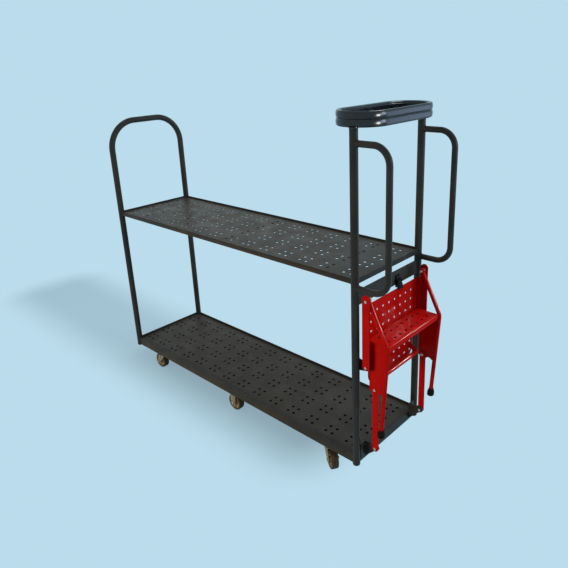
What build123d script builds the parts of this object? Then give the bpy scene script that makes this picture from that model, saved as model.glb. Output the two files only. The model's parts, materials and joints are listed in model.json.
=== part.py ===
from build123d import *
import os
from math import hypot, sqrt

# Step trolley in millimetres: +X to the step end, -Y to the left side, +Z up, floor at z = 0

# Frame tubes
BASE_LENGTH = 1500.0  # hoop tube centres to step post centres
BASE_WIDTH = 400.0  # left to right tube centres
POST_D = 28.6
POST_WALL = 2.0
SHELF_RISE = 715.0  # deck rim top to shelf rim top
HOOP_RISE = 443.0  # shelf rim top to the centre of the hoop's top bar
HOOP_BEND = 135.0
POST_RISE = 505.0  # shelf rim top to the seat of the bag ring
PLUG_CAP = 4.0
PLUG_DEPTH = 15.0
PLUG_ROUND = 2.5

# Deck and shelf
RIM_T = 3.0
RIM_PROUD = 5.0  # rim faces beyond the tube centres
DECK_RIM_H = 40.0
SHELF_RIM_H = 20.0
DECK_RECESS = 10.0  # rim top to sheet top
SHELF_RECESS = 8.0
LEDGE_W = 15.0
SHEET_T = 2.0
HOLE_D = 12.0
HOLE_SPACING = 33.0  # within a cluster of four
CLUSTER_PITCH_X = 107.0
CLUSTER_PITCH_Y = 92.0
CLUSTER_SHIFT = 14.0  # pattern offset towards the hoop
CHANNEL_T = 3.0
CHANNEL_MARGIN = 2.5  # channel beyond the castor plate, each side
STIFFENER_W = 30.0
STIFFENER_T = 8.0

# Push handles
HANDLE_D = 22.0
HANDLE_WALL = 1.5
HANDLE_REACH = 135.8  # post centre to grip centre
HANDLE_HEIGHT = 488.0  # top bar to bottom bar, centres
HANDLE_BEND = 60.0
HANDLE_DROP = 49.0  # ring seat to the centre of the top bar

# Crossbar and snap catch
CROSSBAR_H = 54.0
CROSSBAR_T = 6.0
CROSSBAR_DROP = 26.0  # shelf rim bottom to crossbar top
CATCH_Y = 50.0
CATCH_W = 28.0
CATCH_T = 3.0
CATCH_RISE = 48.0  # plate height above the platform edge
CATCH_HOOK = 4.0  # nose depth below the platform edge
CATCH_GAP = 1.5
CATCH_SCREW_D = 4.0
CATCH_SCREW_HEAD_D = 7.5
CATCH_SCREW_HEAD_H = 2.2
CATCH_SCREW_SPACING = 14.0
CATCH_SCREW_EDGE = 7.0

# Bag ring
RING_WIDTH = 186.0
RING_WALL = 22.0
RING_SETBACK = 18.0  # ring centre behind the posts
BAND_H = 25.0
BAND_ROUND = 2.5
COLLAR_T = 5.0
COLLAR_H = 16.0
RING_GAP = 0.6
SOCKET_T = 2.7
SOCKET_LIP = 0.8
SOCKET_H = 8.0

# Folding step
LINK = 256.0  # pivot to pivot on the side plates and on the arms
PANEL_GAP = 9.0  # crossbar face to panel back
PANEL_T = 2.5
PANEL_EDGE = 32.0  # panel top below the leg pivot
PANEL_TAIL = 101.0  # panel bottom below the platform pivot
PANEL_INSET = 10.0  # side plate to panel edge, each side
PANEL_TAIL_HALF = 146.0
PANEL_WAIST = 47.0  # full width starts this far above the platform pivot
PANEL_TAIL_ROUND = 40.0
PANEL_HOLE_PITCH = 36.8
PANEL_HOLE_TOP = 37.0
PANEL_HOLE_SIDE = 16.0  # panel tail's side edge to the holes
PANEL_HOLE_MARGIN = 10.0
FLANGE_REACH = 12.0  # panel flange ahead of the side plate's back edge
SPACER_R = 5.0
SPACER_TOP = 20.0
SPACER_PITCH = 65.0
SPACER_COUNT = 3
RAIL_D = 18.0
RAIL_WALL = 2.0
RAIL_Y = 131.0
RAIL_REACH = 34.5  # panel face to rail centre
RAIL_DROP = 276.0  # panel top to the rail ends
RAIL_SAG = 17.0  # rail centre below its ends
RAIL_BEND = 22.0
STEP_HOLE_D = 9.5
FOLD_ROUND = 4.0
SIDE_INSET = 10.0  # post centre to the outer face of the side plate
SIDE_T = 4.0
SIDE_GAP = 7.2  # post front to the side plate's back edge
SIDE_DEPTH = 31.5
SIDE_PIVOT = 15.5  # side plate's back edge to the pivot line
SIDE_TOP = 22.5  # side plate above the leg pivot
SIDE_TAIL = 10.0  # side plate below the platform pivot
SIDE_TOP_ROUND = 15.0
SIDE_BACK_ROUND = 12.5
SIDE_FRONT_ROUND = 4.0
PIVOT_ABOVE_BAR = 22.0  # crossbar bottom to the leg pivot
LEG_D = 16.0
LEG_WALL = 1.5
LEG_GAP = 4.5  # side plate to leg tube
LEG_STUB = 10.0
LEG_BEND = 40.0
BUSH_R = 7.0
TREAD_DROP = 159.0  # leg pivot to tread top
TREAD_GAP = 5.5  # panel face to the tread's back edge
TREAD_DEPTH = 95.5
TREAD_T = 2.5
TREAD_LIP = 20.0
TREAD_BACK_LIP = 15.0
TREAD_ROW_PITCH = 42.0
TREAD_HOLE_PITCH = 36.0
TREAD_HOLE_MARGIN = 25.0
BEND_AHEAD = 1.5  # leg bend ahead of the tread front
BEND_DROP = 5.0  # leg bend below the tread top
FOOT_SETBACK = 26.0  # bend to foot
FOOT_GAP = 0.5  # foot above the floor when unfolded
FOOT_D = 28.0
FOOT_L = 34.0
FOOT_SOLE = 6.0
FOOT_ROUND = 4.0
GUSSET_T = 3.0
GUSSET_BITE = 1.5  # gusset let into the leg tube
GUSSET_BACK = 14.0  # gusset's back edge ahead of the tread's
GUSSET_FOOT = 15.0  # gusset's lower edge below the arm joint
GUSSET_ROUND = 16.0
SCOOP_RISE = 7.0
ARM_OFFSET = 21.5  # arm pivots ahead of the platform pivots
ARM_PIVOT_RISE = 32.0  # deck rim top to the arm pivot
ARM_W = 25.0
ARM_T = 5.0
ARM_GAP = 1.0
LUG_T = 6.0
LUG_GAP = 1.0
PLATFORM_LUG_R = 15.0
PLATFORM_BRACKET_H = 48.0
ARM_BRACKET_W = 34.0
ARM_BRACKET_T = 5.0
ARM_BRACKET_GRIP = 30.0  # overlap on the deck rim
ARM_BRACKET_TOP = 8.0  # base plate above the arm pivot

# Pivot bolts
BOLT_D = 6.0
HEX_R = 5.8
HEAD_H = 4.0
NUT_H = 5.0
HEAD_GAP = 0.4
PLAY = 0.08  # radial running clearance
OPEN_PLAY = 0.3  # radial clearance at the arm's upper joint

# Castors
WHEEL_D = 80.0
WHEEL_W = 30.0
TYRE_T = 8.0
TYRE_ROUND = 5.0
CORE_INSET = 2.0
CORE_RIM_T = 5.0
CORE_WEB_T = 12.0
HUB_D = 24.0
HUB_W = 35.0
CHEEK_GAP = 1.0
CHEEK_T = 3.0
CHEEK_END_R = 13.0
FIXED_CHEEK_HALF = 21.0
CROWN_GAP = 6.0
CROWN_T = 10.0
CROWN_R = 24.0
KINGPIN_D = 12.0
KINGPIN_HEAD_R = 9.0
KINGPIN_HEAD_H = 3.0
SWIVEL_GAP = 0.4
RACE_H = 9.6
PLATE_L = 85.0
PLATE_W = 70.0
PLATE_T = 4.0
PLATE_BOLT_EDGE = 10.0
TRAIL = 32.0
CASTOR_INSET_X = 168.0  # from the posts
CASTOR_INSET_Y = 42.0
SWIVEL_HOOP_LEFT = 0.0  # degrees, 0 trails towards the hoop
SWIVEL_HOOP_RIGHT = 14.0
SWIVEL_STEP_LEFT = 148.0
SWIVEL_STEP_RIGHT = 24.0

# Places along X and Y
REAR_REACH = max(POST_D / 2, RIM_PROUD)
FRONT_REACH = HANDLE_REACH + HANDLE_D / 2
X_HOOP = REAR_REACH - (REAR_REACH + BASE_LENGTH + FRONT_REACH) / 2
X_STEP = X_HOOP + BASE_LENGTH
X_MID = (X_HOOP + X_STEP) / 2
Y_POST = BASE_WIDTH / 2
RIM_LENGTH = BASE_LENGTH + 2 * RIM_PROUD
RIM_WIDTH = BASE_WIDTH + 2 * RIM_PROUD
SHEET_LENGTH = RIM_LENGTH - 2 * RIM_T
SHEET_WIDTH = RIM_WIDTH - 2 * RIM_T
X_FACE = X_STEP + RIM_PROUD

# Heights
AXLE_Z = WHEEL_D / 2
CROWN_BOTTOM = WHEEL_D + CROWN_GAP
CROWN_TOP = CROWN_BOTTOM + CROWN_T
RACE_BOTTOM = CROWN_TOP + SWIVEL_GAP
PLATE_BOTTOM = RACE_BOTTOM + RACE_H
DECK_BOTTOM = PLATE_BOTTOM + PLATE_T
DECK_TOP = DECK_BOTTOM + DECK_RIM_H
SHELF_TOP = DECK_TOP + SHELF_RISE
SHELF_BOTTOM = SHELF_TOP - SHELF_RIM_H
HOOP_TOP = SHELF_TOP + HOOP_RISE
RING_SEAT = SHELF_TOP + POST_RISE
HANDLE_TOP = RING_SEAT - HANDLE_DROP
CROSSBAR_TOP = SHELF_BOTTOM - CROSSBAR_DROP
CROSSBAR_BOTTOM = CROSSBAR_TOP - CROSSBAR_H

# Step pivots: platform and arm turn on the frame, leg and joint move with the step
PANEL_X = X_FACE + PANEL_GAP
PANEL_FACE = PANEL_X + PANEL_T
SIDE_X = X_STEP + POST_D / 2 + SIDE_GAP
PIVOT_X = SIDE_X + SIDE_PIVOT
LEG_PIVOT_Z = CROSSBAR_BOTTOM + PIVOT_ABOVE_BAR
PLATFORM_PIVOT_Z = LEG_PIVOT_Z - LINK
ARM_X = PIVOT_X + ARM_OFFSET
ARM_PIVOT_Z = DECK_TOP + ARM_PIVOT_RISE
ARM_JOINT_Z = ARM_PIVOT_Z + LINK
PANEL_TOP = LEG_PIVOT_Z - PANEL_EDGE
PANEL_BOTTOM = PLATFORM_PIVOT_Z - PANEL_TAIL
TREAD_Z = LEG_PIVOT_Z - TREAD_DROP
TREAD_X0 = PANEL_FACE + TREAD_GAP
TREAD_X1 = TREAD_X0 + TREAD_DEPTH
BEND_X = TREAD_X1 + BEND_AHEAD
BEND_Z = TREAD_Z - BEND_DROP
FOOT_X = BEND_X - FOOT_SETBACK
FOOT_Z = LINK + FOOT_GAP

# Step layers across, from the outside in
SIDE_OUT = Y_POST - SIDE_INSET
SIDE_IN = SIDE_OUT - SIDE_T
PANEL_HALF = SIDE_IN - PANEL_INSET
LUG_OUT = SIDE_IN - LUG_GAP
LUG_IN = LUG_OUT - LUG_T
LEG_OUT = SIDE_IN - LEG_GAP
LEG_Y = LEG_OUT - LEG_D / 2
LEG_IN = LEG_OUT - LEG_D
GUSSET_OUT = LEG_IN + GUSSET_BITE
GUSSET_IN = GUSSET_OUT - GUSSET_T
ARM_OUT = GUSSET_IN - ARM_GAP
ARM_IN = ARM_OUT - ARM_T
ARM_LUG_OUT = ARM_IN - LUG_GAP
ARM_LUG_IN = ARM_LUG_OUT - LUG_T

# Castor places: name to swivel axis and rest angle
CASTOR_Y = Y_POST - CASTOR_INSET_Y
CASTOR_HOOP_X = X_HOOP + CASTOR_INSET_X
CASTOR_STEP_X = X_STEP - CASTOR_INSET_X
SWIVEL_CASTORS = {
    "hoop_left": (CASTOR_HOOP_X, -CASTOR_Y, SWIVEL_HOOP_LEFT),
    "hoop_right": (CASTOR_HOOP_X, CASTOR_Y, SWIVEL_HOOP_RIGHT),
    "step_left": (CASTOR_STEP_X, -CASTOR_Y, SWIVEL_STEP_LEFT),
    "step_right": (CASTOR_STEP_X, CASTOR_Y, SWIVEL_STEP_RIGHT),
}
FIXED_CASTORS = {"mid_left": (X_MID, -CASTOR_Y), "mid_right": (X_MID, CASTOR_Y)}
SIDES = {"left": -1, "right": 1}


def group(*pieces):
    return Compound([solid for piece in pieces for solid in piece.solids()])


def block(x0, x1, y0, y1, z0, z1):
    return Pos((x0 + x1) / 2, (y0 + y1) / 2, (z0 + z1) / 2) * Box(x1 - x0, y1 - y0, z1 - z0)


def rod_z(x, y, z0, z1, radius):
    return Pos(x, y, (z0 + z1) / 2) * Cylinder(radius, z1 - z0)


def hex_z(x, y, z0, z1):
    return Pos(x, y, z0) * extrude(RegularPolygon(HEX_R, 6), amount=z1 - z0)


# Shapes on one side of the centre plane, between two distances from it
def side_block(side, x0, x1, inner, outer, z0, z1):
    y0, y1 = sorted((side * inner, side * outer))
    return block(x0, x1, y0, y1, z0, z1)


def side_plate(side, profile, inner, outer):
    y0 = min(side * inner, side * outer)
    return Pos(0, y0, 0) * extrude(Plane.XZ * profile, amount=outer - inner, dir=(0, 1, 0))


def side_rod(side, x, z, inner, outer, radius):
    return Pos(x, side * (inner + outer) / 2, z) * Rot(90, 0, 0) * Cylinder(radius, outer - inner)


def side_hex(side, x, z, inner, outer):
    prism = extrude(RegularPolygon(HEX_R, 6), amount=(outer - inner) / 2, both=True)
    return Pos(x, side * (inner + outer) / 2, z) * Rot(90, 0, 0) * prism


def side_bolt(side, x, z, tail, seat):
    return side_rod(side, x, z, tail, seat, BOLT_D / 2) + side_hex(side, x, z, seat, seat + HEAD_H)


def side_nut(side, x, z, inner, outer):
    return side_hex(side, x, z, inner, outer) - side_rod(side, x, z, inner, outer, BOLT_D / 2)


# Bent round bar and tube along straight runs with equal bends
def bent_bar(points, bend, diameter):
    path = FilletPolyline(*points, radius=bend)
    return sweep((path ^ 0) * Circle(diameter / 2), path=path)


def bent_tube(points, bend, diameter, wall):
    return bent_bar(points, bend, diameter) - bent_bar(points, bend, diameter - 2 * wall)


# Solid cores of the four uprights, for cutting what meets them
def post_core(x, side):
    return rod_z(x, side * Y_POST, DECK_BOTTOM, RING_SEAT, POST_D / 2)


def all_post_cores():
    return [post_core(x, side) for x in (X_HOOP, X_STEP) for side in SIDES.values()]


def step_post_cores():
    return [post_core(X_STEP, side) for side in SIDES.values()]


# Deck and shelf
def rim_frame(bottom, height, recess):
    ledge_top = bottom + height - recess - SHEET_T
    middle = Pos(X_MID, 0, bottom + height / 2)
    wall = middle * Box(RIM_LENGTH, RIM_WIDTH, height) - middle * Box(SHEET_LENGTH, SHEET_WIDTH, height)
    shelf = Pos(X_MID, 0, ledge_top - RIM_T / 2)
    opening = Box(SHEET_LENGTH - 2 * LEDGE_W, SHEET_WIDTH - 2 * LEDGE_W, RIM_T)
    ledge = shelf * Box(SHEET_LENGTH, SHEET_WIDTH, RIM_T) - shelf * opening
    return wall + ledge - all_post_cores()


def cluster_holes():
    reach_x = SHEET_LENGTH - 2 * (LEDGE_W + CLUSTER_SHIFT) - HOLE_SPACING - HOLE_D
    reach_y = SHEET_WIDTH - 2 * LEDGE_W - HOLE_SPACING - HOLE_D
    columns = int(reach_x / CLUSTER_PITCH_X) + 1
    rows = int(reach_y / CLUSTER_PITCH_Y) + 1
    clusters = GridLocations(CLUSTER_PITCH_X, CLUSTER_PITCH_Y, columns, rows)
    holes = GridLocations(HOLE_SPACING, HOLE_SPACING, 2, 2)
    return [Pos(X_MID - CLUSTER_SHIFT, 0) * cluster * hole for cluster in clusters for hole in holes]


def perforated_sheet(top):
    outline = Wire.make_rect(SHEET_LENGTH, SHEET_WIDTH, Plane((X_MID, 0, 0)))
    holes = [Wire.make_circle(HOLE_D / 2, Plane(place)) for place in cluster_holes()]
    sheet = Pos(0, 0, top - SHEET_T) * extrude(Face(outline, holes), amount=SHEET_T, dir=(0, 0, 1))
    return sheet - all_post_cores()


def castor_columns():
    return (CASTOR_HOOP_X, X_MID, CASTOR_STEP_X)


def plate_bolt_places():
    reach_x = PLATE_L - 2 * PLATE_BOLT_EDGE
    reach_y = PLATE_W - 2 * PLATE_BOLT_EDGE
    corners = GridLocations(reach_x, reach_y, 2, 2)
    plates = [Pos(x, y) for x in castor_columns() for y in (-CASTOR_Y, CASTOR_Y)]
    return [(plate * corner).position for plate in plates for corner in corners]


def plate_bolt_cores():
    return [rod_z(p.X, p.Y, PLATE_BOTTOM, DECK_BOTTOM + CHANNEL_T, BOLT_D / 2) for p in plate_bolt_places()]


def deck_crossmembers(frame):
    half = PLATE_L / 2 + CHANNEL_MARGIN
    top = DECK_TOP - DECK_RECESS - SHEET_T
    edge = SHEET_WIDTH / 2
    channels = []
    for x in castor_columns():
        outside = block(x - half, x + half, -edge, edge, DECK_BOTTOM, top)
        hollow = block(x - half + CHANNEL_T, x + half - CHANNEL_T, -edge, edge, DECK_BOTTOM + CHANNEL_T, top)
        channels.append(outside - hollow - frame - plate_bolt_cores())
    return group(*channels)


def shelf_stiffeners(frame):
    top = SHELF_TOP - SHELF_RECESS - SHEET_T
    edge = SHEET_WIDTH / 2
    half = STIFFENER_W / 2
    bars = [block(x - half, x + half, -edge, edge, top - STIFFENER_T, top) for x in castor_columns()]
    return group(*[bar - frame for bar in bars])


# Uprights, handles and crossbar
def end_hoop():
    points = [(X_HOOP, -Y_POST, DECK_BOTTOM), (X_HOOP, -Y_POST, HOOP_TOP)]
    points += [(X_HOOP, Y_POST, HOOP_TOP), (X_HOOP, Y_POST, DECK_BOTTOM)]
    return bent_tube(points, HOOP_BEND, POST_D, POST_WALL)


def step_post(side):
    bore = rod_z(X_STEP, side * Y_POST, DECK_BOTTOM, RING_SEAT, POST_D / 2 - POST_WALL)
    return post_core(X_STEP, side) - bore


def post_plugs():
    plugs = []
    for x in (X_HOOP, X_STEP):
        for side in SIDES.values():
            cap = rod_z(x, side * Y_POST, DECK_BOTTOM - PLUG_CAP, DECK_BOTTOM, POST_D / 2)
            cap = fillet(cap.edges().group_by(Axis.Z)[0], PLUG_ROUND)
            top = DECK_BOTTOM + PLUG_DEPTH
            plugs.append(cap + rod_z(x, side * Y_POST, DECK_BOTTOM, top, POST_D / 2 - POST_WALL))
    return group(*plugs)


def push_handle(side):
    y = side * Y_POST
    grip_x = X_STEP + HANDLE_REACH
    bottom = HANDLE_TOP - HANDLE_HEIGHT
    points = [(X_STEP, y, HANDLE_TOP), (grip_x, y, HANDLE_TOP), (grip_x, y, bottom), (X_STEP, y, bottom)]
    return bent_tube(points, HANDLE_BEND, HANDLE_D, HANDLE_WALL) - post_core(X_STEP, side)


def catch_screw_places():
    z = PANEL_TOP + CATCH_RISE - CATCH_SCREW_EDGE
    return [(CATCH_Y + offset, z) for offset in (-CATCH_SCREW_SPACING / 2, CATCH_SCREW_SPACING / 2)]


def screw_rod(y, z, x0, x1, radius):
    return Pos((x0 + x1) / 2, y, z) * Rot(0, 90, 0) * Cylinder(radius, x1 - x0)


def catch_screw_cores():
    radius = CATCH_SCREW_D / 2
    x1 = X_FACE + CATCH_T
    return [screw_rod(y, z, X_FACE - CROSSBAR_T, x1, radius) for y, z in catch_screw_places()]


def catch_screws():
    x0 = X_FACE + CATCH_T
    heads = [
        screw_rod(y, z, x0, x0 + CATCH_SCREW_HEAD_H, CATCH_SCREW_HEAD_D / 2) for y, z in catch_screw_places()
    ]
    return group(*[head + core for head, core in zip(heads, catch_screw_cores())])


def crossbar():
    bar = block(X_FACE - CROSSBAR_T, X_FACE, -Y_POST, Y_POST, CROSSBAR_BOTTOM, CROSSBAR_TOP)
    return bar - step_post_cores() - catch_screw_cores()


def snap_catch():
    bridge = PANEL_TOP + CATCH_GAP
    nose_back = PANEL_FACE + CATCH_GAP
    nose_front = nose_back + CATCH_T
    tip = PANEL_TOP - CATCH_HOOK
    profile = Polygon(
        (X_FACE, bridge),
        (nose_back, bridge),
        (nose_back, tip + CATCH_T),
        (nose_back + CATCH_T / 2, tip),
        (nose_front + CATCH_T, tip),
        (nose_front, PANEL_TOP),
        (nose_front, bridge + CATCH_T),
        (X_FACE + CATCH_T, bridge + 3 * CATCH_T),
        (X_FACE + CATCH_T, PANEL_TOP + CATCH_RISE),
        (X_FACE, PANEL_TOP + CATCH_RISE),
    )
    hook = side_plate(1, profile, CATCH_Y - CATCH_W / 2, CATCH_Y + CATCH_W / 2)
    return hook - catch_screw_cores()


# Bag ring of two bands; the centre line of its wall passes over both posts
def stadium(inset):
    half_width = RING_WIDTH / 2 - inset
    middle_radius = RING_WIDTH / 2 - RING_WALL / 2
    bend_y = Y_POST - sqrt(middle_radius**2 - RING_SETBACK**2)
    return SlotOverall(2 * (bend_y + half_width), 2 * half_width, rotation=90)


def band(outer_inset, inner_inset, z0, height):
    wall = extrude(stadium(outer_inset) - stadium(inner_inset), amount=height)
    return Pos(X_STEP - RING_SETBACK, 0, z0) * wall


def rounded_band(inner_inset, z0):
    plain = band(0, inner_inset, z0, BAND_H)
    levels = plain.edges().group_by(Axis.Z)
    return fillet(levels[0] + levels[-1], BAND_ROUND)


def post_socket(side):
    x, y = X_STEP, side * Y_POST
    lip_r = POST_D / 2 + SOCKET_LIP
    top_r = POST_D / 2 + SOCKET_T
    flare = Pos(x, y, RING_SEAT - SOCKET_H / 2) * Cone(lip_r, top_r, SOCKET_H)
    return flare + rod_z(x, y, RING_SEAT, RING_SEAT + BAND_ROUND, top_r) - post_core(x, side)


def bag_ring():
    collar = band(RING_WALL - COLLAR_T, RING_WALL, RING_SEAT + BAND_ROUND, BAND_H - BAND_ROUND + COLLAR_H)
    ring = rounded_band(RING_WALL, RING_SEAT) + collar
    for side in SIDES.values():
        ring += post_socket(side)
    return ring


def clamp_ring():
    return rounded_band(RING_WALL - COLLAR_T - RING_GAP, RING_SEAT + BAND_H)


# Brackets on the frame
def platform_bracket(side):
    back = X_STEP - LUG_T / 2
    half = PLATFORM_BRACKET_H / 2
    z = PLATFORM_PIVOT_Z
    base = side_block(side, back, back + LUG_T, LUG_IN, Y_POST, z - half, z + half)
    taper = Polygon(
        (back, z - half), (PIVOT_X, z - PLATFORM_LUG_R), (PIVOT_X, z + PLATFORM_LUG_R), (back, z + half)
    )
    lug = side_plate(side, taper + Pos(PIVOT_X, z) * Circle(PLATFORM_LUG_R), LUG_IN, LUG_OUT)
    bore = side_rod(side, PIVOT_X, z, LUG_IN, LUG_OUT, BOLT_D / 2)
    return base + lug - post_core(X_STEP, side) - bore


def arm_bracket(side):
    z = ARM_PIVOT_Z
    z0 = DECK_TOP - ARM_BRACKET_GRIP
    z1 = z + ARM_BRACKET_TOP
    radius = ARM_W / 2
    outer = ARM_LUG_IN + ARM_BRACKET_W
    base = side_block(side, X_FACE, X_FACE + ARM_BRACKET_T, ARM_LUG_IN, outer, z0, z1)
    taper = Polygon((X_FACE, z0), (ARM_X, z - radius), (ARM_X, z + radius), (X_FACE, z1))
    lug = side_plate(side, taper + Pos(ARM_X, z) * Circle(radius), ARM_LUG_IN, ARM_LUG_OUT)
    return base + lug - side_rod(side, ARM_X, z, ARM_LUG_IN, ARM_LUG_OUT, BOLT_D / 2)


def platform_pivot_bolts():
    pieces = []
    tail = LUG_IN - NUT_H
    for side in SIDES.values():
        pieces.append(side_bolt(side, PIVOT_X, PLATFORM_PIVOT_Z, tail, SIDE_OUT + HEAD_GAP))
        pieces.append(side_nut(side, PIVOT_X, PLATFORM_PIVOT_Z, tail, LUG_IN))
    return group(*pieces)


def arm_pivot_bolts():
    pieces = []
    tail = ARM_LUG_IN - NUT_H
    for side in SIDES.values():
        pieces.append(side_bolt(side, ARM_X, ARM_PIVOT_Z, tail, ARM_OUT + HEAD_GAP))
        pieces.append(side_nut(side, ARM_X, ARM_PIVOT_Z, tail, ARM_LUG_IN))
    return group(*pieces)


# Folding platform
def fold_fillet(profile, corners, radius):
    picked = [min(profile.vertices(), key=lambda v: hypot(v.X - x, v.Y - z)) for x, z in corners]
    return fillet(picked, radius)


def panel_holes():
    columns = int(2 * (PANEL_TAIL_HALF - PANEL_HOLE_SIDE) / PANEL_HOLE_PITCH) + 1
    height = PANEL_TOP - PANEL_BOTTOM - PANEL_HOLE_TOP - PANEL_HOLE_MARGIN
    rows = int(height / PANEL_HOLE_PITCH) + 1
    first_y = -(columns - 1) * PANEL_HOLE_PITCH / 2
    first_z = PANEL_TOP - PANEL_HOLE_TOP
    places = [
        (first_y + column * PANEL_HOLE_PITCH, first_z - row * PANEL_HOLE_PITCH)
        for column in range(columns)
        for row in range(rows)
    ]
    return [screw_rod(y, z, PANEL_X, PANEL_FACE, STEP_HOLE_D / 2) for y, z in places]


def panel_spacers(side):
    x = SIDE_X + FLANGE_REACH / 2
    heights = [PANEL_TOP - SPACER_TOP - row * SPACER_PITCH for row in range(SPACER_COUNT)]
    return [side_rod(side, x, z, PANEL_HALF - PANEL_T / 2, SIDE_IN, SPACER_R) for z in heights]


def platform_panel():
    waist = PLATFORM_PIVOT_Z + PANEL_WAIST
    tail = block(PANEL_X, PANEL_FACE, -PANEL_TAIL_HALF, PANEL_TAIL_HALF, PANEL_BOTTOM, waist)
    tail = fillet(tail.edges().filter_by(Axis.X).group_by(Axis.Z)[0], PANEL_TAIL_ROUND)
    tip = SIDE_X + FLANGE_REACH
    channel = block(PANEL_X, tip, -PANEL_HALF, PANEL_HALF, waist, PANEL_TOP)
    channel = fillet(channel.edges().filter_by(Axis.Z).group_by(Axis.X)[0], FOLD_ROUND)
    inside = PANEL_HALF - PANEL_T
    hollow = block(PANEL_FACE, tip + PANEL_T, -inside, inside, waist, PANEL_TOP)
    hollow = fillet(hollow.edges().filter_by(Axis.Z).group_by(Axis.X)[0], FOLD_ROUND - PANEL_T)
    sheet = tail + (channel - hollow)
    for side in SIDES.values():
        for spacer in panel_spacers(side):
            sheet += spacer
    return sheet - panel_holes()


def platform_rail():
    z1 = PANEL_TOP - RAIL_DROP
    z0 = z1 - RAIL_SAG
    front = PANEL_FACE + RAIL_REACH
    points = [(PANEL_X, -RAIL_Y, z1), (front, -RAIL_Y, z0), (front, RAIL_Y, z0), (PANEL_X, RAIL_Y, z1)]
    behind = block(PANEL_X - RAIL_D, PANEL_FACE, -SIDE_IN, SIDE_IN, z1 - RAIL_D, z1 + RAIL_D)
    return bent_tube(points, RAIL_BEND, RAIL_D, RAIL_WALL) - behind


def platform_side(side):
    top = LEG_PIVOT_Z + SIDE_TOP
    bottom = PLATFORM_PIVOT_Z - SIDE_TAIL
    front = SIDE_X + SIDE_DEPTH
    profile = Polygon((SIDE_X, bottom), (front, bottom), (front, top), (SIDE_X, top))
    profile = fold_fillet(profile, [(SIDE_X, top), (front, top)], SIDE_TOP_ROUND)
    profile = fold_fillet(profile, [(SIDE_X, bottom)], SIDE_BACK_ROUND)
    profile = fold_fillet(profile, [(front, bottom)], SIDE_FRONT_ROUND)
    plate = side_plate(side, profile, SIDE_IN, SIDE_OUT)
    pivot = side_rod(side, PIVOT_X, PLATFORM_PIVOT_Z, SIDE_IN, SIDE_OUT, BOLT_D / 2 + PLAY)
    return plate - pivot - side_rod(side, PIVOT_X, LEG_PIVOT_Z, SIDE_IN, SIDE_OUT, BOLT_D / 2)


def leg_pivot_bolts():
    pieces = []
    seat = LEG_IN - HEAD_GAP
    for side in SIDES.values():
        bush = side_rod(side, PIVOT_X, LEG_PIVOT_Z, LEG_OUT + HEAD_GAP, SIDE_IN, BUSH_R)
        pieces.append(bush - side_rod(side, PIVOT_X, LEG_PIVOT_Z, LEG_OUT, SIDE_IN, BOLT_D / 2))
        pieces.append(side_bolt(side, PIVOT_X, LEG_PIVOT_Z, seat - NUT_H, SIDE_OUT))
        pieces.append(side_nut(side, PIVOT_X, LEG_PIVOT_Z, seat - NUT_H, seat))
    return group(*pieces)


# Legs with the lower tread
def leg_points(side):
    y = side * LEG_Y
    pivot = Vector(PIVOT_X, y, LEG_PIVOT_Z)
    bend = Vector(BEND_X, y, BEND_Z)
    start = pivot + (pivot - bend).normalized() * LEG_STUB
    return [start, bend, Vector(FOOT_X, y, FOOT_Z + FOOT_SOLE)]


def leg_core(side):
    return bent_bar(leg_points(side), LEG_BEND, LEG_D)


def leg_tube(side):
    tube = bent_tube(leg_points(side), LEG_BEND, LEG_D, LEG_WALL)
    return tube - side_rod(side, PIVOT_X, LEG_PIVOT_Z, LEG_IN, LEG_OUT, BOLT_D / 2 + PLAY)


def foot(side):
    start, bend, end = leg_points(side)
    along = (bend - end).normalized()
    base = end - along * (2 * FOOT_SOLE)
    length = FOOT_L + FOOT_SOLE
    cup = Plane(base, z_dir=along) * Pos(0, 0, length / 2) * Cylinder(FOOT_D / 2, length)
    cup = fillet(cup.edges().group_by(Axis.Z)[-1], FOOT_ROUND)
    floor = Pos(end.X, end.Y, FOOT_Z - FOOT_L / 2) * Box(2 * FOOT_D, 2 * FOOT_D, FOOT_L)
    return cup - floor - leg_core(side)


def gusset(side):
    z = ARM_JOINT_Z
    back = TREAD_X0 + GUSSET_BACK
    foot_z = z - GUSSET_FOOT
    slope = (BEND_X - FOOT_X) / (BEND_Z - FOOT_Z - FOOT_SOLE)
    leg_x = BEND_X - slope * (BEND_Z - foot_z)
    profile = Polygon((back, TREAD_Z), (back, foot_z), (leg_x, foot_z), (BEND_X, BEND_Z), (BEND_X, TREAD_Z))
    profile = fold_fillet(profile, [(back, foot_z)], GUSSET_ROUND)
    scoop_0 = ARM_X + ARM_W / 2
    scoop_1 = leg_x - LEG_D / 2
    arc = ThreePointArc((scoop_0, foot_z), ((scoop_0 + scoop_1) / 2, foot_z + SCOOP_RISE), (scoop_1, foot_z))
    profile -= make_face([arc, Line((scoop_1, foot_z), (scoop_0, foot_z))])
    bore = side_rod(side, ARM_X, z, GUSSET_IN, GUSSET_OUT, BOLT_D / 2)
    return side_plate(side, profile, GUSSET_IN, GUSSET_OUT) - bore


def tread_holes():
    columns = int(2 * (GUSSET_IN - TREAD_HOLE_MARGIN) / TREAD_HOLE_PITCH) + 1
    grid = GridLocations(TREAD_ROW_PITCH, TREAD_HOLE_PITCH, 2, columns)
    middle = Pos((TREAD_X0 + TREAD_X1) / 2, 0)
    places = [(middle * place).position for place in grid]
    return [rod_z(p.X, p.Y, TREAD_Z - TREAD_T, TREAD_Z, STEP_HOLE_D / 2) for p in places]


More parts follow.
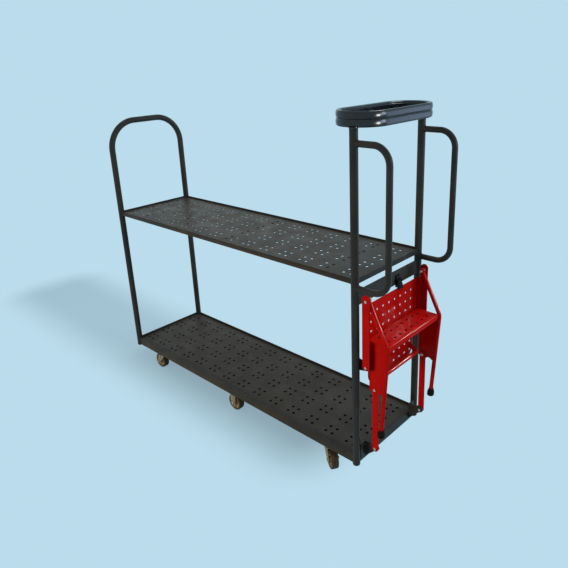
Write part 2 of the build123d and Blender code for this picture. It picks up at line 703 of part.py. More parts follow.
def lower_tread():
    back, front = TREAD_X0, TREAD_X1
    under = TREAD_Z - TREAD_T
    profile = Polygon(
        (back, TREAD_Z),
        (back, TREAD_Z - TREAD_BACK_LIP),
        (back + TREAD_T, TREAD_Z - TREAD_BACK_LIP),
        (back + TREAD_T, under),
        (front - TREAD_T, under),
        (front - TREAD_T, TREAD_Z - TREAD_LIP),
        (front, TREAD_Z - TREAD_LIP),
        (front, TREAD_Z),
    )
    profile = fold_fillet(profile, [(back, TREAD_Z), (front, TREAD_Z)], FOLD_ROUND)
    inner_folds = [(back + TREAD_T, under), (front - TREAD_T, under)]
    profile = fold_fillet(profile, inner_folds, FOLD_ROUND - TREAD_T)
    tread = side_plate(1, profile, -GUSSET_OUT, GUSSET_OUT) - tread_holes()
    for side in SIDES.values():
        tread += gusset(side)
    return tread - [leg_core(side) for side in SIDES.values()]


def arm_joint_bolts():
    pieces = []
    seat = ARM_IN - HEAD_GAP
    for side in SIDES.values():
        pieces.append(side_bolt(side, ARM_X, ARM_JOINT_Z, seat - NUT_H, GUSSET_OUT))
        pieces.append(side_nut(side, ARM_X, ARM_JOINT_Z, seat - NUT_H, seat))
    return group(*pieces)


def arm(side):
    bar = Pos(ARM_X, (ARM_PIVOT_Z + ARM_JOINT_Z) / 2) * SlotCenterToCenter(LINK, ARM_W, rotation=90)
    blank = side_plate(side, bar, ARM_IN, ARM_OUT)
    lower = side_rod(side, ARM_X, ARM_PIVOT_Z, ARM_IN, ARM_OUT, BOLT_D / 2 + PLAY)
    return blank - lower - side_rod(side, ARM_X, ARM_JOINT_Z, ARM_IN, ARM_OUT, BOLT_D / 2 + OPEN_PLAY)


# Castors, each in its own frame: swivel axis at the origin, wheel trailing towards -X
HUB_HALF = HUB_W / 2
CHEEK_IN = HUB_HALF + CHEEK_GAP
CHEEK_OUT = CHEEK_IN + CHEEK_T
CORE_R = WHEEL_D / 2 - TYRE_T


def cheek_profile(x0, x1, top, axle_x):
    taper = Polygon((x0, top), (x1, top), (axle_x + CHEEK_END_R, AXLE_Z), (axle_x - CHEEK_END_R, AXLE_Z))
    return taper + Pos(axle_x, AXLE_Z) * Circle(CHEEK_END_R)


def cheeks(x0, x1, top, axle_x):
    profile = cheek_profile(x0, x1, top, axle_x)
    plates = [side_plate(side, profile, CHEEK_IN, CHEEK_OUT) for side in SIDES.values()]
    bore = side_rod(1, axle_x, AXLE_Z, -CHEEK_OUT, CHEEK_OUT, BOLT_D / 2)
    return [plate - bore for plate in plates]


def castor_fork():
    crown_top = CROWN_BOTTOM + CHEEK_T
    crown = rod_z(0, 0, CROWN_BOTTOM, CROWN_TOP, CROWN_R)
    crown += block(-CROWN_R, CROWN_R, -CHEEK_OUT, CHEEK_OUT, CROWN_BOTTOM, crown_top)
    for cheek in cheeks(-CROWN_R, CROWN_R, crown_top, -TRAIL):
        crown += cheek
    return crown - rod_z(0, 0, CROWN_BOTTOM, CROWN_TOP, KINGPIN_D / 2 + PLAY)


def castor_plate(x, y):
    half_l, half_w = PLATE_L / 2, PLATE_W / 2
    plate = block(x - half_l, x + half_l, y - half_w, y + half_w, PLATE_BOTTOM, DECK_BOTTOM)
    plate = fillet(plate.edges().filter_by(Axis.Z), PLATE_BOLT_EDGE / 2)
    return plate - plate_bolt_cores()


def swivel_plate(x, y):
    head_top = CROWN_BOTTOM - SWIVEL_GAP
    race = rod_z(x, y, RACE_BOTTOM, PLATE_BOTTOM, CROWN_R)
    pin = rod_z(x, y, head_top, RACE_BOTTOM, KINGPIN_D / 2)
    head = rod_z(x, y, head_top - KINGPIN_HEAD_H, head_top, KINGPIN_HEAD_R)
    return castor_plate(x, y) + race + pin + head


def castor_top_plates():
    return group(*[swivel_plate(x, y) for x, y, angle in SWIVEL_CASTORS.values()])


def fixed_castor(x, y):
    body = castor_plate(x, y)
    for cheek in cheeks(-FIXED_CHEEK_HALF, FIXED_CHEEK_HALF, PLATE_BOTTOM, 0):
        body += Pos(x, y, 0) * cheek
    return body


def castor_bolts():
    pieces = []
    nut_seat = DECK_BOTTOM + CHANNEL_T
    for p in plate_bolt_places():
        shank = rod_z(p.X, p.Y, PLATE_BOTTOM, nut_seat + NUT_H, BOLT_D / 2)
        nut = hex_z(p.X, p.Y, nut_seat, nut_seat + NUT_H)
        pieces.append(shank + hex_z(p.X, p.Y, PLATE_BOTTOM - HEAD_H, PLATE_BOTTOM))
        pieces.append(nut - shank)
    return group(*pieces)


def axle(axle_x):
    bolt = side_bolt(1, axle_x, AXLE_Z, -CHEEK_OUT - NUT_H, CHEEK_OUT)
    return group(bolt, side_nut(-1, axle_x, AXLE_Z, CHEEK_OUT, CHEEK_OUT + NUT_H))


def upright_wheel(axle_x, part):
    return Pos(axle_x, 0, AXLE_Z) * Rot(90, 0, 0) * part


def wheel_core(axle_x):
    rim_w = WHEEL_W - 2 * CORE_INSET
    rim = Cylinder(CORE_R, rim_w) - Cylinder(CORE_R - CORE_RIM_T, rim_w)
    core = rim + Cylinder(CORE_R, CORE_WEB_T) + Cylinder(HUB_D / 2, HUB_W)
    return upright_wheel(axle_x, core - Cylinder(BOLT_D / 2 + PLAY, HUB_W))


def tyre(axle_x):
    ring = Cylinder(WHEEL_D / 2, WHEEL_W)
    ring = fillet(ring.edges().filter_by(GeomType.CIRCLE), TYRE_ROUND)
    return upright_wheel(axle_x, ring - Cylinder(CORE_R, WHEEL_W))


# All nodes by name
deck_frame = rim_frame(DECK_BOTTOM, DECK_RIM_H, DECK_RECESS)
shelf_frame = rim_frame(SHELF_BOTTOM, SHELF_RIM_H, SHELF_RECESS)
nodes = {
    "deck_frame": deck_frame,
    "deck_sheet": perforated_sheet(DECK_TOP - DECK_RECESS),
    "deck_crossmembers": deck_crossmembers(deck_frame),
    "shelf_frame": shelf_frame,
    "shelf_sheet": perforated_sheet(SHELF_TOP - SHELF_RECESS),
    "shelf_stiffeners": shelf_stiffeners(shelf_frame),
    "end_hoop": end_hoop(),
    "post_plugs": post_plugs(),
    "crossbar": crossbar(),
    "snap_catch": snap_catch(),
    "catch_screws": catch_screws(),
    "bag_ring": bag_ring(),
    "clamp_ring": clamp_ring(),
    "platform_pivot_bolts": platform_pivot_bolts(),
    "arm_pivot_bolts": arm_pivot_bolts(),
    "platform_panel": platform_panel(),
    "platform_rail": platform_rail(),
    "leg_pivot_bolts": leg_pivot_bolts(),
    "lower_tread": lower_tread(),
    "arm_joint_bolts": arm_joint_bolts(),
    "castor_top_plates": castor_top_plates(),
    "castor_bolts": castor_bolts(),
    "fixed_castors": group(*[fixed_castor(x, y) for x, y in FIXED_CASTORS.values()]),
    "fixed_axles": group(*[Pos(x, y, 0) * axle(0) for x, y in FIXED_CASTORS.values()]),
}
for side_name, side in SIDES.items():
    nodes["step_post_" + side_name] = step_post(side)
    nodes["push_handle_" + side_name] = push_handle(side)
    nodes["platform_bracket_" + side_name] = platform_bracket(side)
    nodes["arm_bracket_" + side_name] = arm_bracket(side)
    nodes["platform_side_" + side_name] = platform_side(side)
    nodes["leg_tube_" + side_name] = leg_tube(side)
    nodes["foot_" + side_name] = foot(side)
    nodes["arm_" + side_name] = arm(side)
for name, (x, y, angle) in SWIVEL_CASTORS.items():
    place = Pos(x, y, 0) * Rot(0, 0, angle)
    nodes["fork_" + name] = place * castor_fork()
    nodes["axle_" + name] = place * axle(-TRAIL)
    nodes["wheel_" + name] = place * wheel_core(-TRAIL)
    nodes["tyre_" + name] = place * tyre(-TRAIL)
for name, (x, y) in FIXED_CASTORS.items():
    nodes["wheel_" + name] = Pos(x, y, 0) * wheel_core(0)
    nodes["tyre_" + name] = Pos(x, y, 0) * tyre(0)

os.makedirs("parts", exist_ok=True)
for name, shape in nodes.items():
    export_step(group(shape), f"parts/{name}.step")
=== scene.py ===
# Looks of the step trolley: finishes, bag ring, castors, bolts, welds, catch and feet, in a pale studio
import json
import math

import bpy
from mathutils import Matrix, Vector


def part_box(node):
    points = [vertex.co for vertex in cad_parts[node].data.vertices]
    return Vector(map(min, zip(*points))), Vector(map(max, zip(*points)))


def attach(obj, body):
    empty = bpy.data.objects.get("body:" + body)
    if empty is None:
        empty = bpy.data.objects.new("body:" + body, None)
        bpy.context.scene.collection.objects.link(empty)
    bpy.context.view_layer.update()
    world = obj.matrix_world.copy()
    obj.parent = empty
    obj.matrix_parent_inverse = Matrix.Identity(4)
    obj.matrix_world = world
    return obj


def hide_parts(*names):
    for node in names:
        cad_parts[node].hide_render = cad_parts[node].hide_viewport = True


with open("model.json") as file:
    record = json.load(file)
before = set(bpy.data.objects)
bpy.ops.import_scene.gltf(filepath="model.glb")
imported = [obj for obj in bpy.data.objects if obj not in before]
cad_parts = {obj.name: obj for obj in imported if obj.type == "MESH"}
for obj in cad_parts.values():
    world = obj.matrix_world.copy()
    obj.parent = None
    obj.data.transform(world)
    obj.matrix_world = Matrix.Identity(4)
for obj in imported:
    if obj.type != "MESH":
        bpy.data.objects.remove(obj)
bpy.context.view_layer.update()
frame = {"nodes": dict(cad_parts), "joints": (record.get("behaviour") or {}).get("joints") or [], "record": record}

cad_nodes = frame["nodes"]
joints = {joint["name"]: joint for joint in frame["joints"]}
slot_of = {subpart["node"]: subpart["material_slot"] for subpart in frame["record"]["subparts"]}
SIDES = {"left": -1, "right": 1}
SWIVEL_CASTORS = ("hoop_left", "hoop_right", "step_left", "step_right")
FIXED_CASTORS = ("mid_left", "mid_right")

# Sizes of the bag ring, in metres
RING_WALL = 0.022
COLLAR_T = 0.005
COLLAR_ROUND = 0.0010
CLAMP_INSET = 0.0164
CLAMP_EDGE = 0.0008
BAND_SINK = 0.0015  # band edges behind the crest of the face
BAND_EDGE = 0.0022  # height of a band's rolled edge
BAND_FOOT = 0.0040  # bottom edge of the ring behind the crest
SPLIT_INSET = 0.0034  # edges at the split behind the crest
SPLIT_GAP = 0.0002
TOP_FALL = 0.0040  # top of the ring to the top of its upper face
TOP_INSET = 0.0019  # outer rounding of the top behind the crest
OUTER_ROUND = 0.0036
INNER_ROUND = 0.0060
INNER_FALL = 0.0006  # top of the ring to the top of its inner rounding
FLARE_REACH = 0.0024
FLARE_H = 0.0090
FLARE_SINK = 0.0020
JOINT_PLATE = (0.0030, 0.0200, 0.0120)
JOINT_SINK = 0.0012
JOINT_LIFT = 0.0040
JOINT_EDGE = 0.0006

# Sizes of the bolts, bushes and rivets
HEAD_H = 0.0040
HEAD_CROWN = 0.0006
HEAD_CHAMFER = 0.0010
NUT_H = 0.0050
NUT_CHAMFER = 0.0011
NUT_CROWN = 0.0005
NUT_MOUTH = 0.0016
MOUTH_DEPTH = 0.0009
BOLT_R = 0.0030
BOLT_TIP = 0.0007
THREAD_END = 0.0008
PLATFORM_GRIP = 0.0114
LEG_GRIP = 0.0249
ARM_GRIP = 0.0124
ARM_JOINT_GRIP = 0.0094
PLATE_BOLT_X = 0.0325
PLATE_BOLT_Y = 0.025
BUSH_L = 0.0041
BUSH_DEPTH = 0.0040  # head seat of the leg bolts to their bush
BUSH_EDGE = 0.0004
RIVET_R = 0.0034
RIVET_H = 0.0017
RIVET_ROWS = 3
RIVET_PITCH = 0.065
RIVET_DROP = 0.020  # panel top to the first row
RIVET_INSET = 0.006  # front edge of the panel's flange to the rivets
FLANGE_T = 0.0025

# Sizes of the castor wheels, tyres and race covers
BORE_R = 0.00308
BORE_EDGE = 0.0005
HUB_R = 0.0120
HUB_EDGE = 0.0010
HUB_FALL = 0.0008
HUB_DRAFT = 0.0006
HUB_ROOT = 0.0026
WEB_HALF = 0.0060
WEB_END = 0.0052  # flat of the web short of the rim
CORE_IN = 0.0270
CORE_HALF = 0.0130
CORE_ROOT = 0.0030
CORE_LIP = 0.0008
CORE_EDGE = 0.0006
TYRE_LIP = ((0.0, 0.0014), (0.0006, 0.0004), (0.0016, 0.0))  # out from the core, in from the side
TYRE_SHOULDER = 0.0050
TREAD_GROOVE = 0.0074  # middle of the tyre to a groove
TREAD_DEPTH = 0.0007
TREAD_MOUTH = 0.0008
TREAD_FLOOR = 0.0004
RACE_IN = 0.0236
RACE_WAIST = 0.0250
RACE_FOOT = (0.0010, 0.0016)  # lower cone: out, up
RACE_BRIM = 0.0286
BRIM_EDGE = 0.0005
BRIM_FALL = 0.0012
BRIM_SKIRT = (0.0010, 0.0040)  # upper cone: in, down
RACE_GAP = 0.0007  # fork to race cover
RACE_SLIT = 0.0001  # race cover to top plate

# Sizes of the catch, welds and feet
HOOK = (
    (0.0, 0.0015), (0.0130, 0.0015), (0.0130, -0.0012), (0.0146, -0.0040), (0.0205, -0.0040),
    (0.0211, -0.0024), (0.0168, 0.0030), (0.0162, 0.0090), (0.0138, 0.0145), (0.0118, 0.0210),
    (0.0138, 0.0260), (0.0132, 0.0290), (0.0093, 0.0305), (0.0048, 0.0335), (0.0030, 0.0360),
    (0.0030, 0.0480), (0.0, 0.0480),
)  # outline of the catch: out from the crossbar, up from the panel's top
HOOK_ROUND = 0.0008
LINE_BEAD = 0.0028
RING_BEAD = 0.0026
LINE_HEIGHT = 0.62  # share of the bead's radius, as the next four
LINE_PITCH = 0.55
RING_HEIGHT = 0.8
RING_PITCH = 0.6
RIPPLE_LENGTH = 0.75
RAIL_R = 0.009
RAIL_DROP = 0.276  # panel top to the rail ends
LEG_R = 0.008
LEG_SLOPE = 0.026 / 0.3605  # run over drop of a leg's lower stretch
FOOT_X = 0.77675
FOOT_H = 0.034
FOOT_TIP = 0.0045
FOOT_GROOVES = 2
GROOVE_START = 0.0085
GROOVE_PITCH = 0.0052
GROOVE_DEPTH = 0.0009
GROOVE_SLOPE = 0.0006
GROOVE_FLAT = 0.0012
FOOT_SHOULDER = ((0.0004, 0.0195), (0.0018, 0.0235), (0.0034, 0.0275), (0.0042, 0.0310))  # in, up
FOOT_LIP = ((0.0040, 0.0008), (0.0048, 0.0))  # in, down from the top
FOOT_MOUTH = 0.0004
FOOT_SOCKET = 0.0060

# Reach of the worn places, the painted reflection on rim flanks and the painted shade in the tread holes, in the
# finishes
REFLECTION_START = 0.0020  # depth behind a rim's face
REFLECTION_FULL = 0.0005
TREAD_EDGE = 0.008
TREAD_T = 0.004
TREAD_BLUR = 0.001
FLAT_ENOUGH = 0.995  # cosine past which a face counts as flat
NOISE_SPAN = (0.3, 0.7)  # where most of a noise lies

# Camera from the photograph, in a square frame
CAMERA_PLACE = (1.76025, -1.58275, 1.58454)
CAMERA_TURN = (71.3818, 1.9032, 41.9276)
CAMERA_LENS = 35.398
CAMERA_SENSOR = 36.0
CAMERA_SHIFT = (-0.0482, -0.0711)

# Studio: backdrop, floor, the shaded stretch of floor and the dark card of painted shade under the deck
BACKDROP = (0.496, 0.716, 0.838, 1.0)
SKY = (0.92, 0.96, 1.0, 1.0)
SKY_STRENGTH = 0.34
FLOOR_SIZE = 60.0
SHADE_MIDDLE = (-0.95, -0.02, 0)
SHADE_HALF = (1.25, 0.10, 1)
SHADE_FADE = 0.36
SHADE_SHARE = 0.5
SHADE_CARD_DROP = 0.001
SHADE_CARD_TONE = (0.004, 0.004, 0.004, 1.0)

# Lamps: place, point aimed at, width, power in watts, colour
LAMPS = {
    "warm_lamp": ((-0.4, -3.4, 1.4), (0.1, -0.1, 0.6), 1.6, 78.0, (1.0, 0.84, 0.62)),
    "window_lamp": ((2.4, 0.7, 1.5), (0.7, 0.0, 0.6), 0.9, 17.5, (0.66, 0.82, 1.0)),
    "sky_lamp": ((2.2, 2.4, 1.9), (0.6, 0.0, 0.7), 0.8, 20.0, (0.62, 0.76, 1.0)),
    "overhead_lamp": ((1.5, 2.0, 3.2), (0.0, 0.0, 0.4), 2.2, 60.0, (1.0, 0.99, 0.97)),
    "edge_gleam": ((2.17, 2.28, 2.0), (0.75, 0.0, 0.6), 0.25, 340.0, (1.0, 0.97, 0.95)),
    "tube_gleam": ((3.0, 1.5, 1.3), (0.75, 0.0, 0.6), 0.3, 230.0, (1.0, 0.97, 0.95)),
    "ring_gleam": ((3.7, 0.0, 1.0), (0.7, 0.0, 1.4), 1.0, 70.0, (1.0, 1.0, 1.0)),
    "top_gleam": ((1.0, 0.9, 3.2), (0.7, 0.0, 1.4), 1.2, 45.0, (0.92, 0.96, 1.0)),
    "blue_gleam": ((2.3, 2.4, 1.1), (0.7, 0.0, 1.2), 1.5, 9.0, (0.50, 0.64, 1.0)),
    "ceiling_gleam": ((-3.2, 2.2, 1.9), (-0.3, 0.0, 0.7), 3.0, 6.0, (1.0, 0.72, 0.42)),
}

# Tones of the finishes, dark and light where they vary
COAT_BLACK = ((0.0168, 0.0143, 0.0118), (0.0290, 0.0241, 0.0195))
# Painted warm reflection of the floor on the rims' outer flanks
FLOOR_REFLECTION_BROWN = ((0.036, 0.023, 0.0070), (0.058, 0.039, 0.015))
RUBBED_EDGE = (0.085, 0.078, 0.066)
SETTLED_DUST = (0.075, 0.068, 0.055)
COAT_SCRATCH = (0.070, 0.065, 0.056)
DECK_GREY = ((0.0280, 0.0244, 0.0196), (0.0415, 0.0366, 0.0300))
# Painted light: the shelf's grey is lighter than the deck's, as the deck lies in the shelf's shade
SHELF_GREY_LIT = ((0.0400, 0.0340, 0.0265), (0.0590, 0.0505, 0.0405))
WORN_GREY = (0.053, 0.0505, 0.0465)
SCUFF_ALONG = (0.098, 0.093, 0.085)
SCUFF_ACROSS = (0.090, 0.085, 0.078)
PALE_SPECK = (0.094, 0.090, 0.082)
# Painted shade on the hole walls, with grime and painted shade round their edges
HOLE_GRIME_AND_SHADE = (0.004, 0.004, 0.004)
ENAMEL_RED = ((0.380, 0.0034, 0.0018), (0.470, 0.0050, 0.0026))
CHIPPED_RED = (0.075, 0.016, 0.014)
SCUFFED_RED = (0.560, 0.040, 0.044)
GRIMY_RED = (0.260, 0.014, 0.014)
# Painted shade in and round the tread's holes
TREAD_HOLE_SHADE = (0.030, 0.001, 0.002)
RING_BLACK = ((0.0050, 0.0058, 0.0070), (0.0110, 0.0122, 0.0140))
RING_MARK = (0.040, 0.040, 0.040)
BOLT_ZINC = ((0.50, 0.43, 0.30), (0.80, 0.75, 0.62))
CASTOR_YELLOW = ((0.165, 0.115, 0.056), (0.370, 0.280, 0.150))
CASTOR_EDGE = (0.460, 0.400, 0.290)
FOOT_BLACK = ((0.005, 0.004, 0.004), (0.012, 0.0105, 0.0105))
TYRE_BROWN = ((0.036, 0.024, 0.011), (0.110, 0.076, 0.040))
CATCH_BLACK = ((0.002, 0.002, 0.0025), (0.005, 0.005, 0.006))
WHEEL_TAN = ((0.145, 0.098, 0.046), (0.370, 0.270, 0.145))


# Places and sizes read from the frame, in metres
def low(node):
    return Vector(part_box(node)[0])


def high(node):
    return Vector(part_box(node)[1])


def middle(node):
    return (low(node) + high(node)) / 2


def half_size(node):
    return (high(node) - low(node)) / 2


def pivot(joint):
    return Vector(joints[joint]["pos_m"])


X_HOOP = middle("end_hoop").x
X_STEP = middle("step_post_right").x
Y_POST = middle("step_post_right").y
POST_R = high("step_post_right").x - X_STEP
RIM_PROUD = high("deck_frame").x - X_STEP
RIM_FACE = Y_POST + RIM_PROUD
BRACKET_FRONT = X_STEP - low("platform_bracket_right").x
HANDLE_R = half_size("push_handle_right").y
HANDLE_TOP = high("push_handle_right").z - HANDLE_R
HANDLE_BOTTOM = low("push_handle_right").z + HANDLE_R
RING_X = middle("clamp_ring").x
RING_R = high("clamp_ring").x - RING_X
RING_BEND_Y = high("clamp_ring").y - RING_R
RING_SEAT = high("step_post_right").z
RING_SPLIT = low("clamp_ring").z
RING_TOP = high("clamp_ring").z
COLLAR_TOP = high("bag_ring").z
CATCH_BACK = low("snap_catch").x
CATCH_Y0 = low("snap_catch").y
CATCH_Y1 = high("snap_catch").y
PANEL_TOP = high("platform_panel").z
FOOT_R = half_size("foot_right").y
FOOT_Y = middle("foot_right").y
FOOT_BOTTOM = low("foot_right").z
LINK = pivot("leg_turn").z - pivot("step_fold").z
HEX_R = half_size("arm_joint_bolts").x
BUSH_R = half_size("leg_pivot_bolts").x
PLATE_SEAT = low("castor_bolts").z + HEAD_H
PLATE_GRIP = high("castor_bolts").z - NUT_H - PLATE_SEAT
CHEEK_OUT = high("axle_hoop_left").y - HEAD_H - pivot("roll_hoop_left").y
CORE_R = half_size("wheel_mid_left").z
HUB_HALF = half_size("wheel_mid_left").y
TYRE_R = pivot("roll_mid_left").z
TYRE_HALF = half_size("tyre_mid_left").y


# Shader helpers
def new_finish(name):
    finish = bpy.data.materials.new(name)
    finish.use_nodes = True
    return finish, finish.node_tree, finish.node_tree.nodes["Principled BSDF"]


def feed(tree, output, shader, socket):
    tree.links.new(output, shader.inputs[socket])


def noise(tree, scale, detail, stretch=(1.0, 1.0, 1.0)):
    place = tree.nodes.new("ShaderNodeTexCoord")
    mapping = tree.nodes.new("ShaderNodeMapping")
    mapping.inputs["Scale"].default_value = stretch
    texture = tree.nodes.new("ShaderNodeTexNoise")
    texture.inputs["Scale"].default_value = scale
    texture.inputs["Detail"].default_value = detail
    feed(tree, place.outputs["Object"], mapping, "Vector")
    feed(tree, mapping.outputs["Vector"], texture, "Vector")
    return texture.outputs["Fac"]


def ramp(tree, value, span, tones):
    node = tree.nodes.new("ShaderNodeValToRGB")
    for element, position, tone in zip(node.color_ramp.elements, span, tones):
        element.position = position
        element.color = (*tone, 1.0)
    feed(tree, value, node, "Fac")
    return node.outputs["Color"]


def spread(tree, value, span, to, smooth=False):
    node = tree.nodes.new("ShaderNodeMapRange")
    if smooth:
        node.interpolation_type = "SMOOTHSTEP"
    node.inputs["From Min"].default_value = span[0]
    node.inputs["From Max"].default_value = span[1]
    node.inputs["To Min"].default_value = to[0]
    node.inputs["To Max"].default_value = to[1]
    feed(tree, value, node, "Value")
    return node.outputs["Result"]


def combined(tree, operation, first, second):
    node = tree.nodes.new("ShaderNodeMath")
    node.operation = operation
    tree.links.new(first, node.inputs[0])
    tree.links.new(second, node.inputs[1])
    return node.outputs["Value"]


def product(tree, first, *others):
    for other in others:
        first = combined(tree, "MULTIPLY", first, other)
    return first


def larger(tree, first, *others):
    for other in others:
        first = combined(tree, "MAXIMUM", first, other)
    return first


def mixed(tree, share, first, second):
    node = tree.nodes.new("ShaderNodeMix")
    node.data_type = "RGBA"
    feed(tree, share, node, "Factor")
    for socket, colour in ((node.inputs["A"], first), (node.inputs["B"], second)):
        if isinstance(colour, tuple):
            socket.default_value = (*colour, 1.0)
        else:
            tree.links.new(colour, socket)
    return node.outputs["Result"]


def axis_part(tree, vector, axis):
    axes = tree.nodes.new("ShaderNodeSeparateXYZ")
    feed(tree, vector, axes, "Vector")
    return axes.outputs[axis]


def unsigned(tree, value):
    node = tree.nodes.new("ShaderNodeMath")
    node.operation = "ABSOLUTE"
    tree.links.new(value, node.inputs[0])
    return node.outputs["Value"]


def normal_part(tree, axis):
    return axis_part(tree, tree.nodes.new("ShaderNodeNewGeometry").outputs["Normal"], axis)


def place_part(tree, axis):
    return axis_part(tree, tree.nodes.new("ShaderNodeTexCoord").outputs["Object"], axis)


def distance_from(tree, centre, half):
    steps = (("SUBTRACT", centre), ("ABSOLUTE", None), ("SUBTRACT", half), ("MAXIMUM", (0, 0, 0)))
    place = tree.nodes.new("ShaderNodeTexCoord").outputs["Object"]
    for operation, vector in steps:
        node = tree.nodes.new("ShaderNodeVectorMath")
        node.operation = operation
        tree.links.new(place, node.inputs[0])
        if vector:
            node.inputs[1].default_value = vector
        place = node.outputs["Vector"]
    length = tree.nodes.new("ShaderNodeVectorMath")
    length.operation = "LENGTH"
    tree.links.new(place, length.inputs[0])
    return length.outputs["Value"]


# Where a surface wears: rounded edges, faces that look up, patches and fine scratches
def soft_edges(tree, radius):
    bevel = tree.nodes.new("ShaderNodeBevel")
    bevel.samples = 6
    bevel.inputs["Radius"].default_value = radius
    return bevel.outputs["Normal"]


def edge_share(tree, rounded, reach):
    surface = tree.nodes.new("ShaderNodeNewGeometry")
    dot = tree.nodes.new("ShaderNodeVectorMath")
    dot.operation = "DOT_PRODUCT"
    tree.links.new(rounded, dot.inputs[0])
    tree.links.new(surface.outputs["Normal"], dot.inputs[1])
    return spread(tree, dot.outputs["Value"], (reach, FLAT_ENOUGH), (1.0, 0.0))


def facing_up(tree):
    return spread(tree, normal_part(tree, "Z"), (0.5, 0.95), (0.0, 1.0))


def patches(tree, scale, detail, span, amount, stretch=(1.0, 1.0, 1.0)):
    return spread(tree, noise(tree, scale, detail, stretch), span, (0.0, amount))


def scratches(tree, stretch, amount):
    return patches(tree, scale=1.0, detail=2.0, span=(0.66, 0.74), amount=amount, stretch=stretch)


def roughened(tree, shader, pattern, to):
    feed(tree, spread(tree, pattern, NOISE_SPAN, to), shader, "Roughness")


def bumped(tree, shader, heights, strength, distance, rounded):
    bump = tree.nodes.new("ShaderNodeBump")
    bump.inputs["Strength"].default_value = strength
    bump.inputs["Distance"].default_value = distance
    feed(tree, heights, bump, "Height")
    feed(tree, rounded, bump, "Normal")
    feed(tree, bump.outputs["Normal"], shader, "Normal")


# Outer side faces of a rim, most of all towards the lower edge: where a painted warm reflection of the floor goes
def rim_flank(tree, rim):
    across = unsigned(tree, place_part(tree, "Y"))
    outside = spread(tree, across, (RIM_FACE - REFLECTION_START, RIM_FACE - REFLECTION_FULL), (0.0, 1.0))
    sideways = spread(tree, unsigned(tree, normal_part(tree, "Y")), (0.80, 0.98), (0.0, 1.0))
    cloud = noise(tree, scale=4.0, detail=4.0, stretch=(1.0, 1.0, 6.0))
    uneven = spread(tree, cloud, (0.38, 0.60), (0.45, 1.0))
    lower = spread(tree, place_part(tree, "Z"), (low(rim).z, high(rim).z), (1.0, 0.15))
    return product(tree, uneven, lower, outside, sideways)


# Black powder coat of the tubes and rims: mottle, rubbed edges, dust on top, a painted warm reflection of the
# floor on rim flanks
def frame_coat(name, rim=None):
    finish, tree, shader = new_finish(name)
    tone = ramp(tree, noise(tree, scale=9.0, detail=5.0), (0.34, 0.68), COAT_BLACK)
    if rim:
        # Painted warm reflection of the floor on the rim's outer flanks
        floor_reflection = ramp(tree, noise(tree, scale=21.0, detail=6.0), (0.32, 0.70), FLOOR_REFLECTION_BROWN)
        tone = mixed(tree, rim_flank(tree, rim), tone, floor_reflection)
    rounded = soft_edges(tree, radius=0.0016)
    rub = patches(tree, scale=60.0, detail=6.0, span=(0.48, 0.66), amount=0.8)
    tone = mixed(tree, product(tree, edge_share(tree, rounded, reach=0.80), rub), tone, RUBBED_EDGE)
    dust = patches(tree, scale=40.0, detail=6.0, span=(0.42, 0.70), amount=0.45)
    tone = mixed(tree, product(tree, facing_up(tree), dust), tone, SETTLED_DUST)
    tone = mixed(tree, scratches(tree, stretch=(26.0, 26.0, 900.0), amount=0.35), tone, COAT_SCRATCH)
    feed(tree, tone, shader, "Base Color")
    roughened(tree, shader, noise(tree, scale=22.0, detail=4.0), (0.34, 0.50))
    shader.inputs["Specular IOR Level"].default_value = 0.12 if rim else 0.18
    grain = noise(tree, scale=900.0, detail=2.0)
    bumped(tree, shader, grain, strength=0.12, distance=0.0006, rounded=rounded)
    return finish


# Painted shade on the walls of punched holes, and a dark ring round their edges that is grime and painted shade
def hole_edges(tree):
    painted_wall_shade = spread(tree, unsigned(tree, normal_part(tree, "Z")), (0.4, 0.6), (1.0, 0.0))
    grime = edge_share(tree, soft_edges(tree, radius=0.0036), reach=0.78)
    return larger(tree, painted_wall_shade, grime)


# Grey coat of the two perforated sheets: scuffed both ways by goods, lighter where it is worn
def sheet_coat(name, tones):
    finish, tree, shader = new_finish(name)
    tone = ramp(tree, noise(tree, scale=5.0, detail=6.0), (0.32, 0.70), tones)
    worn = patches(tree, scale=13.0, detail=7.0, span=(0.50, 0.74), amount=0.6, stretch=(1.0, 1.6, 1.0))
    tone = mixed(tree, worn, tone, WORN_GREY)
    tone = mixed(tree, scratches(tree, stretch=(5.0, 420.0, 1.0), amount=0.5), tone, SCUFF_ALONG)
    tone = mixed(tree, scratches(tree, stretch=(380.0, 9.0, 1.0), amount=0.4), tone, SCUFF_ACROSS)
    specks = patches(tree, scale=360.0, detail=2.0, span=(0.60, 0.78), amount=0.5)
    tone = mixed(tree, specks, tone, PALE_SPECK)
    # Painted shade on the hole walls, with grime and painted shade round their edges
    tone = mixed(tree, hole_edges(tree), tone, HOLE_GRIME_AND_SHADE)
    feed(tree, tone, shader, "Base Color")
    roughened(tree, shader, noise(tree, scale=17.0, detail=5.0), (0.36, 0.54))
    shader.inputs["Specular IOR Level"].default_value = 0.10
    grain = noise(tree, scale=700.0, detail=3.0)
    bumped(tree, shader, grain, strength=0.15, distance=0.0006, rounded=soft_edges(tree, radius=0.0006))
    return finish


# Box round the tread's holes, short of its edges: centre and half sizes
def tread_top():
    half = half_size("lower_tread") - Vector((TREAD_EDGE, TREAD_EDGE, 0))
    centre = middle("lower_tread")
    centre.z = high("lower_tread").z - TREAD_T / 2
    half.z = TREAD_T
    return centre, half
